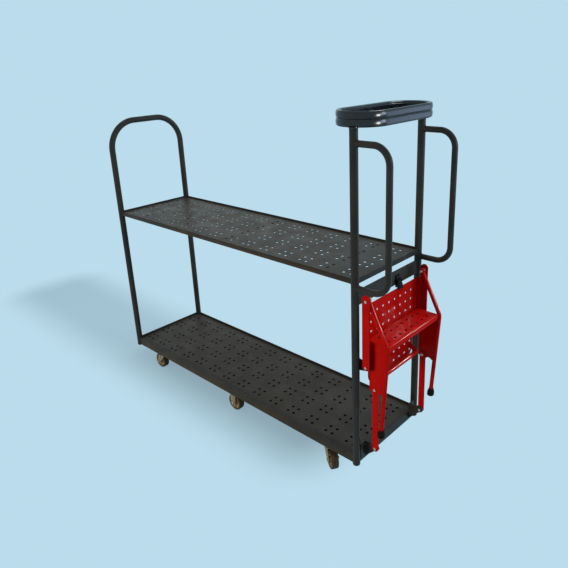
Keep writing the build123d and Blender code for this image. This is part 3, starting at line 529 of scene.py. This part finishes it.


# Red enamel of the folding step: chipped edges, scuffs where shoes and hands go, painted shade in and round the
# tread holes
def red_enamel(name, tread=False):
    finish, tree, shader = new_finish(name)
    tone = ramp(tree, noise(tree, scale=12.0, detail=4.0), (0.32, 0.70), ENAMEL_RED)
    rounded = soft_edges(tree, radius=0.0035)
    chips = patches(tree, scale=85.0, detail=6.0, span=(0.60, 0.70), amount=0.6)
    tone = mixed(tree, product(tree, edge_share(tree, rounded, reach=0.75), chips), tone, CHIPPED_RED)
    tone = mixed(tree, scratches(tree, stretch=(30.0, 10.0, 620.0), amount=0.35), tone, SCUFFED_RED)
    grime = patches(tree, scale=34.0, detail=6.0, span=(0.46, 0.70), amount=0.35)
    tone = mixed(tree, product(tree, facing_up(tree), grime), tone, GRIMY_RED)
    # Painted shade in and round the tread's holes
    if tread:
        inside = spread(tree, distance_from(tree, *tread_top()), (0.0, TREAD_BLUR), (1.0, 0.0))
        tone = mixed(tree, product(tree, inside, hole_edges(tree)), tone, TREAD_HOLE_SHADE)
    feed(tree, tone, shader, "Base Color")
    roughened(tree, shader, noise(tree, scale=16.0, detail=5.0), (0.20, 0.36))
    shader.inputs["Specular IOR Level"].default_value = 0.0
    shader.inputs["Coat Weight"].default_value = 0.06
    shader.inputs["Coat Roughness"].default_value = 0.10
    ripples = noise(tree, scale=420.0, detail=2.0)
    bumped(tree, shader, ripples, strength=0.10, distance=0.0006, rounded=rounded)
    return finish


# Glossy black of the bag ring, with handling marks that run round it
def ring_gloss():
    finish, tree, shader = new_finish("ring_gloss")
    tone = ramp(tree, noise(tree, scale=14.0, detail=4.0), NOISE_SPAN, RING_BLACK)
    tone = mixed(tree, scratches(tree, stretch=(24.0, 24.0, 700.0), amount=0.5), tone, RING_MARK)
    feed(tree, tone, shader, "Base Color")
    roughened(tree, shader, noise(tree, scale=35.0, detail=6.0, stretch=(1.0, 1.0, 3.0)), (0.13, 0.26))
    shader.inputs["Specular IOR Level"].default_value = 0.40
    waves = noise(tree, scale=60.0, detail=2.0)
    bumped(tree, shader, waves, strength=0.06, distance=0.0010, rounded=soft_edges(tree, radius=0.0012))
    return finish


# Zinc of the bolts, with a faint yellow bloom
def zinc_plate():
    finish, tree, shader = new_finish("zinc_plate")
    bloom = noise(tree, scale=160.0, detail=5.0)
    feed(tree, ramp(tree, bloom, (0.3, 0.72), BOLT_ZINC), shader, "Base Color")
    shader.inputs["Metallic"].default_value = 1.0
    roughened(tree, shader, bloom, (0.42, 0.24))
    grain = noise(tree, scale=900.0, detail=2.0)
    bumped(tree, shader, grain, strength=0.12, distance=0.0003, rounded=soft_edges(tree, radius=0.0006))
    return finish


# Dull yellow plating of the castor forks and plates, stained, with paler edges
def castor_zinc():
    finish, tree, shader = new_finish("castor_zinc")
    stain = noise(tree, scale=48.0, detail=6.0)
    tone = ramp(tree, stain, (0.32, 0.70), CASTOR_YELLOW)
    rounded = soft_edges(tree, radius=0.0010)
    tone = mixed(tree, edge_share(tree, rounded, reach=0.80), tone, CASTOR_EDGE)
    feed(tree, tone, shader, "Base Color")
    shader.inputs["Metallic"].default_value = 0.45
    roughened(tree, shader, stain, (0.58, 0.40))
    grain = noise(tree, scale=520.0, detail=3.0)
    bumped(tree, shader, grain, strength=0.18, distance=0.0004, rounded=rounded)
    return finish


# Rubber and plastic: dusty mottle over a fine grain
def moulded(name, tones, roughness, grain, gloss=0.30):
    finish, tree, shader = new_finish(name)
    dusty = noise(tree, scale=70.0, detail=5.0)
    feed(tree, ramp(tree, dusty, (0.38, 0.75), tones), shader, "Base Color")
    roughened(tree, shader, dusty, (roughness - 0.08, roughness + 0.08))
    shader.inputs["Specular IOR Level"].default_value = gloss
    heights = noise(tree, scale=grain, detail=3.0)
    bumped(tree, shader, heights, strength=0.25, distance=0.0005, rounded=soft_edges(tree, radius=0.0008))
    return finish


FRAME_COAT = frame_coat("frame_coat")
DECK_COAT = sheet_coat("deck_coat", DECK_GREY)
# Painted light: a lighter copy of the deck's coat for the shelf, as the deck lies in the shelf's shade
LIT_SHELF_COAT = sheet_coat("lit_shelf_coat", SHELF_GREY_LIT)
RED = red_enamel("red_enamel")
TREAD_RED = red_enamel("tread_enamel", tread=True)
RING = ring_gloss()
ZINC = zinc_plate()
CASTOR_ZINC = castor_zinc()
FOOT_RUBBER = moulded("foot_rubber", FOOT_BLACK, roughness=0.60, grain=600.0, gloss=0.06)
TYRE_RUBBER = moulded("tyre_rubber", TYRE_BROWN, roughness=0.75, grain=420.0)
CATCH_PLASTIC = moulded("catch_plastic", CATCH_BLACK, roughness=0.42, grain=900.0, gloss=0.06)
WHEEL_PLASTIC = moulded("wheel_plastic", WHEEL_TAN, roughness=0.52, grain=500.0)
FINISH_OF_SLOT = {
    "frame_black": FRAME_COAT,
    "deck_grey": DECK_COAT,
    "ring_black": RING,
    "step_red": RED,
    "zinc": ZINC,
    "castor_zinc": CASTOR_ZINC,
    "rubber_black": FOOT_RUBBER,
    "plastic_black": CATCH_PLASTIC,
    "wheel_core": WHEEL_PLASTIC,
    "tyre_dark": TYRE_RUBBER,
}
for node, slot in slot_of.items():
    mesh = cad_nodes[node].data
    mesh.materials.clear()
    mesh.materials.append(FINISH_OF_SLOT[slot])
for rim in ("deck_frame", "shelf_frame"):
    cad_nodes[rim].data.materials[0] = frame_coat(rim + "_coat", rim)
cad_nodes["shelf_sheet"].data.materials[0] = LIT_SHELF_COAT
cad_nodes["lower_tread"].data.materials[0] = TREAD_RED


# Modelling helpers
def clear_selection():
    if bpy.context.mode != "OBJECT":
        bpy.ops.object.mode_set(mode="OBJECT")
    bpy.ops.object.select_all(action="DESELECT")


def make_active(piece):
    clear_selection()
    piece.select_set(True)
    bpy.context.view_layer.objects.active = piece


def edit_all(piece):
    make_active(piece)
    bpy.ops.object.mode_set(mode="EDIT")
    bpy.ops.mesh.select_all(action="SELECT")


def close_mesh():
    bpy.ops.mesh.select_all(action="SELECT")
    bpy.ops.mesh.remove_doubles(threshold=0.000002)
    bpy.ops.mesh.delete_loose(use_faces=False)
    bpy.ops.mesh.select_all(action="SELECT")
    bpy.ops.mesh.normals_make_consistent(inside=False)
    bpy.ops.object.mode_set(mode="OBJECT")


def pick_faces(piece, wanted):
    make_active(piece)
    bpy.ops.object.mode_set(mode="EDIT")
    bpy.ops.mesh.select_mode(type="FACE")
    bpy.ops.mesh.select_all(action="DESELECT")
    bpy.ops.object.mode_set(mode="OBJECT")
    for face in piece.data.polygons:
        face.select = wanted(face)
    bpy.ops.object.mode_set(mode="EDIT")


def apply_place():
    bpy.ops.object.transform_apply(location=True, rotation=True, scale=True)


def join(pieces):
    clear_selection()
    for piece in pieces:
        piece.select_set(True)
    bpy.context.view_layer.objects.active = pieces[0]
    bpy.ops.object.join()
    return pieces[0]


def copy_to(piece, place):
    make_active(piece)
    bpy.ops.object.duplicate()
    twin = bpy.context.object
    twin.matrix_world = place @ piece.matrix_world
    apply_place()
    return twin


def copies(piece, places):
    twins = [copy_to(piece, place) for place in places]
    bpy.data.objects.remove(piece)
    return join(twins)


def settle(piece, name, body, finish, slot, *replaced):
    make_active(piece)
    apply_place()
    bpy.ops.object.shade_smooth_by_angle(angle=math.radians(40))
    piece.name = name
    piece.data.name = name
    piece.data.materials.clear()
    piece.data.materials.append(finish)
    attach(piece, body)
    if replaced:
        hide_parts(*replaced)


def outline(points):
    clear_selection()
    bpy.ops.mesh.primitive_circle_add(vertices=len(points), radius=0.01)
    shape = bpy.context.object
    for vertex, (x, z) in zip(shape.data.vertices, points):
        vertex.co = (x, 0, z)
    return shape


def spun(points, steps):
    shape = outline(points)
    edit_all(shape)
    bpy.ops.mesh.spin(steps=steps, angle=2 * math.pi, center=(0, 0, 0), axis=(0, 0, 1))
    close_mesh()
    return shape


def arc(centre, radius, start, end, steps):
    angles = [math.radians(start + (end - start) * step / steps) for step in range(steps + 1)]
    return [(centre[0] + radius * math.cos(a), centre[1] + radius * math.sin(a)) for a in angles]


def along(place, direction):
    turn = Vector(direction).to_track_quat("Z", "Y").to_matrix().to_4x4()
    return Matrix.Translation(place) @ turn


# Bag ring: a section run once round the oval
def run_round_ring(points):
    band = outline(points)
    edit_all(band)
    bpy.ops.transform.translate(value=(RING_X, RING_BEND_Y, 0))
    for end in (1, -1):
        centre = (RING_X, end * RING_BEND_Y, 0)
        bpy.ops.mesh.spin(steps=36, angle=-math.pi, center=centre, axis=(0, 0, 1))
        bpy.ops.mesh.extrude_region_move(TRANSFORM_OT_translate={"value": (0, -2 * end * RING_BEND_Y, 0)})
    close_mesh()
    return band


def band_face(z0, z1):
    steps = 8
    shares = [step / steps for step in range(steps + 1)]
    return [(RING_R - BAND_SINK * (2 * t - 1) ** 2, z0 + (z1 - z0) * t) for t in shares]


def lower_band():
    inside = RING_R - RING_WALL
    shelf = inside + COLLAR_T
    split = RING_SPLIT - SPLIT_GAP
    section = [(inside + BAND_EDGE, RING_SEAT), (RING_R - BAND_FOOT, RING_SEAT)]
    section += band_face(RING_SEAT + BAND_EDGE, RING_SPLIT - BAND_EDGE)
    section += [(RING_R - SPLIT_INSET, split), (shelf, split), (shelf, COLLAR_TOP - COLLAR_ROUND)]
    section += [(shelf - COLLAR_ROUND, COLLAR_TOP), (inside + COLLAR_ROUND, COLLAR_TOP)]
    section += [(inside, COLLAR_TOP - COLLAR_ROUND), (inside, RING_SEAT + BAND_EDGE)]
    return run_round_ring(section)


def upper_band():
    inside = RING_R - CLAMP_INSET
    outer_x = RING_R - TOP_INSET - OUTER_ROUND
    inner_z = RING_TOP - INNER_FALL - INNER_ROUND
    section = [(inside + CLAMP_EDGE, RING_SPLIT), (RING_R - SPLIT_INSET, RING_SPLIT)]
    section += band_face(RING_SPLIT + BAND_EDGE, RING_TOP - TOP_FALL)
    section += arc((outer_x, RING_TOP - OUTER_ROUND), OUTER_ROUND, 20, 90, steps=4)
    section += arc((inside + INNER_ROUND, inner_z), INNER_ROUND, 100, 180, steps=4)
    section += [(inside, RING_SPLIT + CLAMP_EDGE)]
    return run_round_ring(section)


def post_flare():
    foot, top = RING_SEAT - FLARE_H, RING_SEAT + FLARE_SINK
    quarter = arc((POST_R + FLARE_REACH, foot), FLARE_REACH, 180, 90, steps=6)
    section = [(r, foot + (z - foot) * FLARE_H / FLARE_REACH) for r, z in quarter]
    return spun([*section, (POST_R + FLARE_REACH, top), (POST_R, top)], steps=40)


def band_joint():
    clear_selection()
    bpy.ops.mesh.primitive_cube_add(size=1.0)
    plate = bpy.context.object
    plate.scale = JOINT_PLATE
    plate.location = (RING_X + RING_R - JOINT_SINK, 0, (RING_SEAT + RING_SPLIT) / 2 + JOINT_LIFT)
    apply_place()
    edit_all(plate)
    bpy.ops.mesh.bevel(offset=JOINT_EDGE, segments=2, affect="EDGES")
    bpy.ops.object.mode_set(mode="OBJECT")
    return plate


def bag_ring():
    flares = [Matrix.Translation((X_STEP, side * Y_POST, 0)) for side in SIDES.values()]
    ring = join([lower_band(), copies(post_flare(), flares), band_joint()])
    settle(ring, "bag_ring_rolled", "frame", RING, "ring_black", "bag_ring")
    settle(upper_band(), "clamp_ring_rolled", "upper_ring", RING, "ring_black", "clamp_ring")


bag_ring()


# Hex bolt and its nut, head seat at z = 0 and shank downwards
def rod(sides, radius, length, top):
    clear_selection()
    place = (0, 0, top - length / 2)
    bpy.ops.mesh.primitive_cylinder_add(vertices=sides, radius=radius, depth=length, location=place)
    return bpy.context.object


def hex_head():
    flats = HEAD_H - HEAD_CROWN
    head = rod(6, HEX_R, flats, flats)
    pick_faces(head, lambda face: face.normal.z > 0.9)
    bpy.ops.mesh.inset(thickness=HEAD_CHAMFER)
    bpy.ops.transform.translate(value=(0, 0, HEAD_CROWN))
    bpy.ops.object.mode_set(mode="OBJECT")
    return head


def hex_nut(seat):
    nut = rod(6, HEX_R, NUT_H, seat)
    pick_faces(nut, lambda face: face.normal.z < -0.9)
    bpy.ops.mesh.inset(thickness=NUT_CHAMFER)
    bpy.ops.transform.translate(value=(0, 0, -NUT_CROWN))
    bpy.ops.mesh.inset(thickness=NUT_MOUTH)
    bpy.ops.transform.translate(value=(0, 0, MOUTH_DEPTH))
    bpy.ops.object.mode_set(mode="OBJECT")
    return nut


def shank(length):
    stem = rod(28, BOLT_R, length, 0)
    pick_faces(stem, lambda face: face.normal.z < -0.9)
    bpy.ops.mesh.bevel(offset=BOLT_TIP, segments=2, affect="EDGES")
    bpy.ops.object.mode_set(mode="OBJECT")
    return stem


def hex_bolt(grip):
    return join([hex_head(), shank(grip + NUT_H + THREAD_END), hex_nut(-grip)])


def pivot_bush():
    top, bottom = -BUSH_DEPTH, -BUSH_DEPTH - BUSH_L
    section = [(BOLT_R, top), (BUSH_R - BUSH_EDGE, top), (BUSH_R, top - BUSH_EDGE)]
    section += [(BUSH_R, bottom + BUSH_EDGE), (BUSH_R - BUSH_EDGE, bottom), (BOLT_R, bottom)]
    return spun(section, steps=36)


def pivot_bolts(node, body, centre, bolt):
    seat = high(node).y - HEAD_H
    places = [along((centre.x, side * seat, centre.z), (0, side, 0)) for side in SIDES.values()]
    settle(copies(bolt, places), node + "_hexed", body, ZINC, "zinc", node)


def step_bolts():
    arm = pivot("arm_right_turn")
    arm_joint = arm + Vector((0, 0, LINK))
    bushed = join([hex_bolt(LEG_GRIP), pivot_bush()])
    pivot_bolts("platform_pivot_bolts", "frame", pivot("step_fold"), hex_bolt(PLATFORM_GRIP))
    pivot_bolts("leg_pivot_bolts", "platform", pivot("leg_turn"), bushed)
    pivot_bolts("arm_pivot_bolts", "frame", arm, hex_bolt(ARM_GRIP))
    pivot_bolts("arm_joint_bolts", "legs", arm_joint, hex_bolt(ARM_JOINT_GRIP))


def axle_place(castor):
    axis = Vector(joints["roll_" + castor]["axis"])
    return along(pivot("roll_" + castor) + CHEEK_OUT * axis, axis)


def axle_bolts():
    for castor in SWIVEL_CASTORS:
        bolt = copies(hex_bolt(2 * CHEEK_OUT), [axle_place(castor)])
        settle(bolt, "axle_" + castor + "_hexed", "fork_" + castor, ZINC, "zinc", "axle_" + castor)
    fixed = copies(hex_bolt(2 * CHEEK_OUT), [axle_place(castor) for castor in FIXED_CASTORS])
    settle(fixed, "fixed_axles_hexed", "frame", ZINC, "zinc", "fixed_axles")


def plate_bolts():
    centres = [pivot("swivel_" + castor) for castor in SWIVEL_CASTORS]
    centres += [pivot("roll_" + castor) for castor in FIXED_CASTORS]
    places = []
    for centre in centres:
        for dx in (-PLATE_BOLT_X, PLATE_BOLT_X):
            for dy in (-PLATE_BOLT_Y, PLATE_BOLT_Y):
                places.append(along((centre.x + dx, centre.y + dy, PLATE_SEAT), (0, 0, -1)))
    bolts = copies(hex_bolt(PLATE_GRIP), places)
    settle(bolts, "castor_bolts_hexed", "frame", ZINC, "zinc", "castor_bolts")


def rivet_head():
    clear_selection()
    bpy.ops.mesh.primitive_uv_sphere_add(segments=20, ring_count=12, radius=RIVET_R)
    head = bpy.context.object
    head.scale.z = RIVET_H / RIVET_R
    apply_place()
    edit_all(head)
    bpy.ops.mesh.bisect(plane_co=(0, 0, 0), plane_no=(0, 0, 1), use_fill=True, clear_inner=True)
    close_mesh()
    return head


def panel_rivets():
    flange_end = high("platform_panel")
    x, y = flange_end.x - RIVET_INSET, flange_end.y - FLANGE_T
    places = []
    for side in SIDES.values():
        for row in range(RIVET_ROWS):
            z = PANEL_TOP - RIVET_DROP - row * RIVET_PITCH
            places.append(along((x, side * y, z), (0, -side, 0)))
    settle(copies(rivet_head(), places), "panel_rivets", "platform", ZINC, "zinc")


step_bolts()
axle_bolts()
plate_bolts()
panel_rivets()


# Castor wheels and tyres, spun round the axle and laid on their joints
def mirrored(half):
    return half + [(r, -z) for r, z in reversed(half)]


def wheel_core():
    hub_foot = HUB_R + HUB_DRAFT
    half = [(BORE_R, HUB_HALF - BORE_EDGE), (BORE_R + BORE_EDGE, HUB_HALF), (HUB_R - HUB_EDGE, HUB_HALF)]
    half += [(HUB_R, HUB_HALF - HUB_FALL), (hub_foot, WEB_HALF + HUB_ROOT)]
    half += arc((hub_foot + HUB_ROOT, WEB_HALF + HUB_ROOT), HUB_ROOT, 180, 270, steps=3)
    half += [(CORE_IN - WEB_END, WEB_HALF)]
    half += arc((CORE_IN - CORE_ROOT, WEB_HALF + CORE_ROOT), CORE_ROOT, 270, 350, steps=3)
    half += [(CORE_IN + CORE_LIP, CORE_HALF - CORE_LIP), (CORE_IN + 2 * CORE_LIP, CORE_HALF)]
    half += [(CORE_R - CORE_EDGE, CORE_HALF), (CORE_R, CORE_HALF - CORE_EDGE)]
    return spun(mirrored(half), steps=56)


def tyre():
    groove_floor = TYRE_R - TREAD_DEPTH
    half = [(CORE_R + out, TYRE_HALF - fall) for out, fall in TYRE_LIP]
    half += arc((TYRE_R - TYRE_SHOULDER, TYRE_HALF - TYRE_SHOULDER), TYRE_SHOULDER, 90, 0, steps=6)
    half += [(TYRE_R, TREAD_GROOVE + TREAD_MOUTH), (groove_floor, TREAD_GROOVE + TREAD_FLOOR)]
    half += [(groove_floor, TREAD_GROOVE - TREAD_FLOOR), (TYRE_R, TREAD_GROOVE - TREAD_MOUTH)]
    return spun(mirrored(half), steps=72)


def castor_wheels():
    for castor in SWIVEL_CASTORS + FIXED_CASTORS:
        place = [along(pivot("roll_" + castor), joints["roll_" + castor]["axis"])]
        body = "wheel_" + castor
        settle(copies(wheel_core(), place), body + "_spun", body, WHEEL_PLASTIC, "wheel_core", body)
        name = "tyre_" + castor
        settle(copies(tyre(), place), name + "_grooved", body, TYRE_RUBBER, "tyre_dark", name)


def race_covers():
    bottom, top = high("fork_hoop_left").z + RACE_GAP, PLATE_SEAT - RACE_SLIT
    section = [(RACE_IN, top), (RACE_BRIM - BRIM_EDGE, top), (RACE_BRIM, top - BRIM_FALL)]
    section += [(RACE_BRIM - BRIM_SKIRT[0], top - BRIM_SKIRT[1])]
    section += [(RACE_WAIST + RACE_FOOT[0], bottom + RACE_FOOT[1]), (RACE_WAIST, bottom), (RACE_IN, bottom)]
    places = [Matrix.Translation((*pivot("swivel_" + castor).xy, 0)) for castor in SWIVEL_CASTORS]
    covers = copies(spun(section, steps=48), places)
    settle(covers, "race_covers", "frame", CASTOR_ZINC, "castor_zinc")


castor_wheels()
race_covers()


# Snap catch: one moulded hook, thin where the screws hold it, thick at the nose
def snap_catch():
    catch = outline([(CATCH_BACK + out, PANEL_TOP + up) for out, up in HOOK])
    edit_all(catch)
    bpy.ops.transform.translate(value=(0, CATCH_Y0, 0))
    bpy.ops.mesh.edge_face_add()
    bpy.ops.mesh.extrude_region_move(TRANSFORM_OT_translate={"value": (0, CATCH_Y1 - CATCH_Y0, 0)})
    close_mesh()
    rounding = catch.modifiers.new("rounding", "BEVEL")
    rounding.width = HOOK_ROUND
    rounding.segments = 3
    rounding.limit_method = "ANGLE"
    make_active(catch)
    bpy.ops.object.modifier_apply(modifier="rounding")
    settle(catch, "snap_catch_moulded", "frame", CATCH_PLASTIC, "plastic_black", "snap_catch")


snap_catch()


# Weld beads: overlapping ripples along a line or round a tube
def ripple(radius, height_share):
    clear_selection()
    bpy.ops.mesh.primitive_uv_sphere_add(segments=10, ring_count=6, radius=radius)
    drop = bpy.context.object
    drop.scale = (1.0, RIPPLE_LENGTH, height_share)
    apply_place()
    return drop


def weld_line(start, end, out):
    start, end, out = Vector(start), Vector(end), Vector(out).normalized()
    run = (end - start).normalized()
    bead = ripple(LINE_BEAD, LINE_HEIGHT)
    pitch = LINE_BEAD * LINE_PITCH
    rows = bead.modifiers.new("rows", "ARRAY")
    rows.use_relative_offset = False
    rows.use_constant_offset = True
    rows.constant_offset_displace = (0, pitch, 0)
    rows.count = max(2, int((end - start).length / pitch))
    make_active(bead)
    bpy.ops.object.modifier_apply(modifier="rows")
    turn = Matrix((run.cross(out), run, out)).transposed().to_4x4()
    bead.matrix_world = Matrix.Translation(start) @ turn
    apply_place()
    return bead


def weld_ring(tube_radius):
    drop = ripple(RING_BEAD, RING_HEIGHT)
    drop.location = (tube_radius, 0, 0)
    apply_place()
    edit_all(drop)
    steps = int(2 * math.pi * tube_radius / (RING_BEAD * RING_PITCH))
    bpy.ops.mesh.spin(steps=steps, angle=2 * math.pi, dupli=True, center=(0, 0, 0), axis=(0, 0, 1))
    bpy.ops.object.mode_set(mode="OBJECT")
    return drop


# Rings of weld bent round the posts, one at each handle end
def handle_welds():
    ring = weld_ring(HANDLE_R)
    for vertex in ring.data.vertices:
        across = min(abs(vertex.co.y), 0.9 * POST_R)
        vertex.co.z -= POST_R - math.sqrt(POST_R**2 - across**2)
    places = []
    for side in SIDES.values():
        for z in (HANDLE_TOP, HANDLE_BOTTOM):
            front = Matrix.Translation((X_STEP + POST_R, side * Y_POST, z))
            places.append(front @ Matrix.Rotation(math.pi / 2, 4, "Y"))
    settle(copies(ring, places), "handle_welds", "frame", FRAME_COAT, "frame_black")


def rim_welds(node):
    z0, z1 = low(node).z, high(node).z
    reach = math.sqrt(POST_R**2 - RIM_PROUD**2)
    lines = []
    for x, end in ((X_HOOP, -1), (X_STEP, 1)):
        for side in SIDES.values():
            flank = (x - end * reach, side * RIM_FACE)
            lines.append(weld_line((*flank, z0), (*flank, z1), (-0.5 * end, side, 0)))
            face = (x + end * RIM_PROUD, side * (Y_POST - reach))
            lines.append(weld_line((*face, z0), (*face, z1), (end, -0.5 * side, 0)))
    return lines


def front_welds(name, proud):
    lines = []
    for word, side in SIDES.items():
        node = name.format(word)
        edge = (X_STEP + proud, side * (Y_POST - math.sqrt(POST_R**2 - proud**2)))
        lines.append(weld_line((*edge, low(node).z), (*edge, high(node).z), (1, -0.5 * side, 0)))
    return lines


def frame_welds():
    lines = rim_welds("deck_frame") + rim_welds("shelf_frame")
    lines += front_welds("crossbar", RIM_PROUD) + front_welds("platform_bracket_{}", BRACKET_FRONT)
    settle(join(lines), "frame_welds", "frame", FRAME_COAT, "frame_black")


def rail_welds():
    x, y, z = low("platform_rail").x, high("platform_rail").y - RAIL_R, PANEL_TOP - RAIL_DROP
    places = [along((x, side * y, z), (1, 0, 0)) for side in SIDES.values()]
    settle(copies(weld_ring(RAIL_R), places), "rail_welds", "platform", RED, "step_red")


handle_welds()
frame_welds()
rail_welds()


# Rubber foot, spun round the leg's line: round tip, grooved waist, lip round the tube
def rubber_foot():
    profile = [(0.0, 0.0), *arc((FOOT_R - FOOT_TIP, FOOT_TIP), FOOT_TIP, 270, 360, steps=5)]
    waist = FOOT_R - GROOVE_DEPTH
    for groove in range(FOOT_GROOVES):
        start = GROOVE_START + groove * GROOVE_PITCH
        floor = start + GROOVE_SLOPE
        end = floor + GROOVE_FLAT
        profile += [(FOOT_R, start), (waist, floor), (waist, end), (FOOT_R, end + GROOVE_SLOPE)]
    profile += [(FOOT_R - inset, z) for inset, z in FOOT_SHOULDER]
    profile += [(FOOT_R - inset, FOOT_H - fall) for inset, fall in FOOT_LIP]
    profile += [(LEG_R, FOOT_H - FOOT_MOUTH), (LEG_R, FOOT_H - FOOT_SOCKET), (0.0, FOOT_H - FOOT_SOCKET)]
    foot = spun(profile, steps=48)
    for vertex in foot.data.vertices:
        vertex.co.x += LEG_SLOPE * vertex.co.z
    return foot


def rubber_feet():
    for word, side in SIDES.items():
        foot = copies(rubber_foot(), [Matrix.Translation((FOOT_X, side * FOOT_Y, FOOT_BOTTOM))])
        settle(foot, "foot_" + word + "_moulded", "legs", FOOT_RUBBER, "rubber_black", "foot_" + word)


rubber_feet()


# Studio: pale floor that runs into the backdrop, soft lamps and the camera
def seen_directly(tree):
    path = tree.nodes.new("ShaderNodeLightPath").outputs
    return larger(tree, path["Is Camera Ray"], path["Is Glossy Ray"], path["Is Transmission Ray"])


def studio_world():
    world = bpy.data.worlds.new("studio")
    world.use_nodes = True
    tree = world.node_tree
    light = tree.nodes["Background"]
    light.inputs["Color"].default_value = SKY
    light.inputs["Strength"].default_value = SKY_STRENGTH
    seen = tree.nodes.new("ShaderNodeBackground")
    seen.inputs["Color"].default_value = BACKDROP
    choice = tree.nodes.new("ShaderNodeMixShader")
    feed(tree, seen_directly(tree), choice, "Fac")
    tree.links.new(light.outputs["Background"], choice.inputs[1])
    tree.links.new(seen.outputs["Background"], choice.inputs[2])
    feed(tree, choice.outputs["Shader"], tree.nodes["World Output"], "Surface")
    bpy.context.scene.world = world


def studio_floor():
    clear_selection()
    bpy.ops.mesh.primitive_plane_add(size=FLOOR_SIZE)
    floor = bpy.context.object
    floor.name = "studio_floor"
    finish, tree, shader = new_finish("studio_floor")
    shader.inputs["Base Color"].default_value = BACKDROP
    shader.inputs["Roughness"].default_value = 0.9
    shader.inputs["Specular IOR Level"].default_value = 0.1
    far = tree.nodes.new("ShaderNodeEmission")
    far.inputs["Color"].default_value = BACKDROP
    distance = distance_from(tree, SHADE_MIDDLE, SHADE_HALF)
    fade = spread(tree, distance, (0.0, SHADE_FADE), (SHADE_SHARE, 1.0), smooth=True)
    choice = tree.nodes.new("ShaderNodeMixShader")
    feed(tree, product(tree, fade, seen_directly(tree)), choice, "Fac")
    tree.links.new(shader.outputs["BSDF"], choice.inputs[1])
    tree.links.new(far.outputs["Emission"], choice.inputs[2])
    feed(tree, choice.outputs["Shader"], tree.nodes["Material Output"], "Surface")
    floor.data.materials.append(finish)
    return floor


# Dark card close under the deck sheet: painted shade that stands for a floor in deep shade, so that the sheet's
# holes look black
def hole_backdrop():
    clear_selection()
    size = 2 * half_size("deck_sheet")
    place = middle("deck_sheet")
    place.z = low("deck_sheet").z - SHADE_CARD_DROP
    bpy.ops.mesh.primitive_plane_add(size=1.0, location=place)
    shade_card = bpy.context.object
    shade_card.name = "hole_backdrop"
    shade_card.scale = (size.x, size.y, 1.0)
    finish, _, shader = new_finish("hole_backdrop")
    shader.inputs["Base Color"].default_value = SHADE_CARD_TONE
    shader.inputs["Roughness"].default_value = 1.0
    shader.inputs["Specular IOR Level"].default_value = 0.0
    shade_card.data.materials.append(finish)


def soft_lamp(name, in_gloss=True):
    place, aim, width, power, colour = LAMPS[name]
    data = bpy.data.lights.new(name, "AREA")
    data.shape = "DISK"
    data.size = width
    data.energy = power
    data.color = colour
    lamp = bpy.data.objects.new(name, data)
    lamp.location = place
    lamp.rotation_euler = (Vector(aim) - Vector(place)).to_track_quat("-Z", "Y").to_euler()
    lamp.visible_glossy = in_gloss
    bpy.context.scene.collection.objects.link(lamp)
    return lamp


# Warm light from the left on all but the floor, unseen in gloss
def side_glow(floor):
    glow = soft_lamp("warm_lamp", in_gloss=False)
    left_out = bpy.data.collections.new("lit_by_other_lamps")
    left_out.objects.link(floor)
    left_out.collection_objects[0].light_linking.link_state = "EXCLUDE"
    glow.light_linking.receiver_collection = left_out


# Lamps that show in gloss alone, on some pieces or on all
def gleam(name, pieces=()):
    lamp = soft_lamp(name)
    lamp.visible_diffuse = False
    if pieces:
        lamp.light_linking.receiver_collection = bpy.data.collections.new(name + "_pieces")
        for piece in pieces:
            lamp.light_linking.receiver_collection.objects.link(piece)


def gleams():
    reds = [cad_nodes[node] for node, slot in slot_of.items() if slot == "step_red"]
    rings = [bpy.data.objects[name] for name in ("bag_ring_rolled", "clamp_ring_rolled")]
    gleam("edge_gleam", reds)
    gleam("tube_gleam", reds)
    gleam("ring_gleam", rings)
    gleam("top_gleam", rings)
    gleam("blue_gleam")
    gleam("ceiling_gleam")


def photo_camera():
    data = bpy.data.cameras.new("photo_camera")
    data.sensor_width = CAMERA_SENSOR
    data.lens = CAMERA_LENS
    data.shift_x, data.shift_y = CAMERA_SHIFT
    camera = bpy.data.objects.new("photo_camera", data)
    camera.location = CAMERA_PLACE
    camera.rotation_euler = [math.radians(angle) for angle in CAMERA_TURN]
    bpy.context.scene.collection.objects.link(camera)
    bpy.context.scene.camera = camera


studio_world()
side_glow(studio_floor())
# Card of painted shade under the deck
hole_backdrop()
gleams()
soft_lamp("window_lamp")
soft_lamp("sky_lamp", in_gloss=False)
soft_lamp("overhead_lamp", in_gloss=False)
photo_camera()
bpy.context.scene.view_settings.view_transform = "Standard"
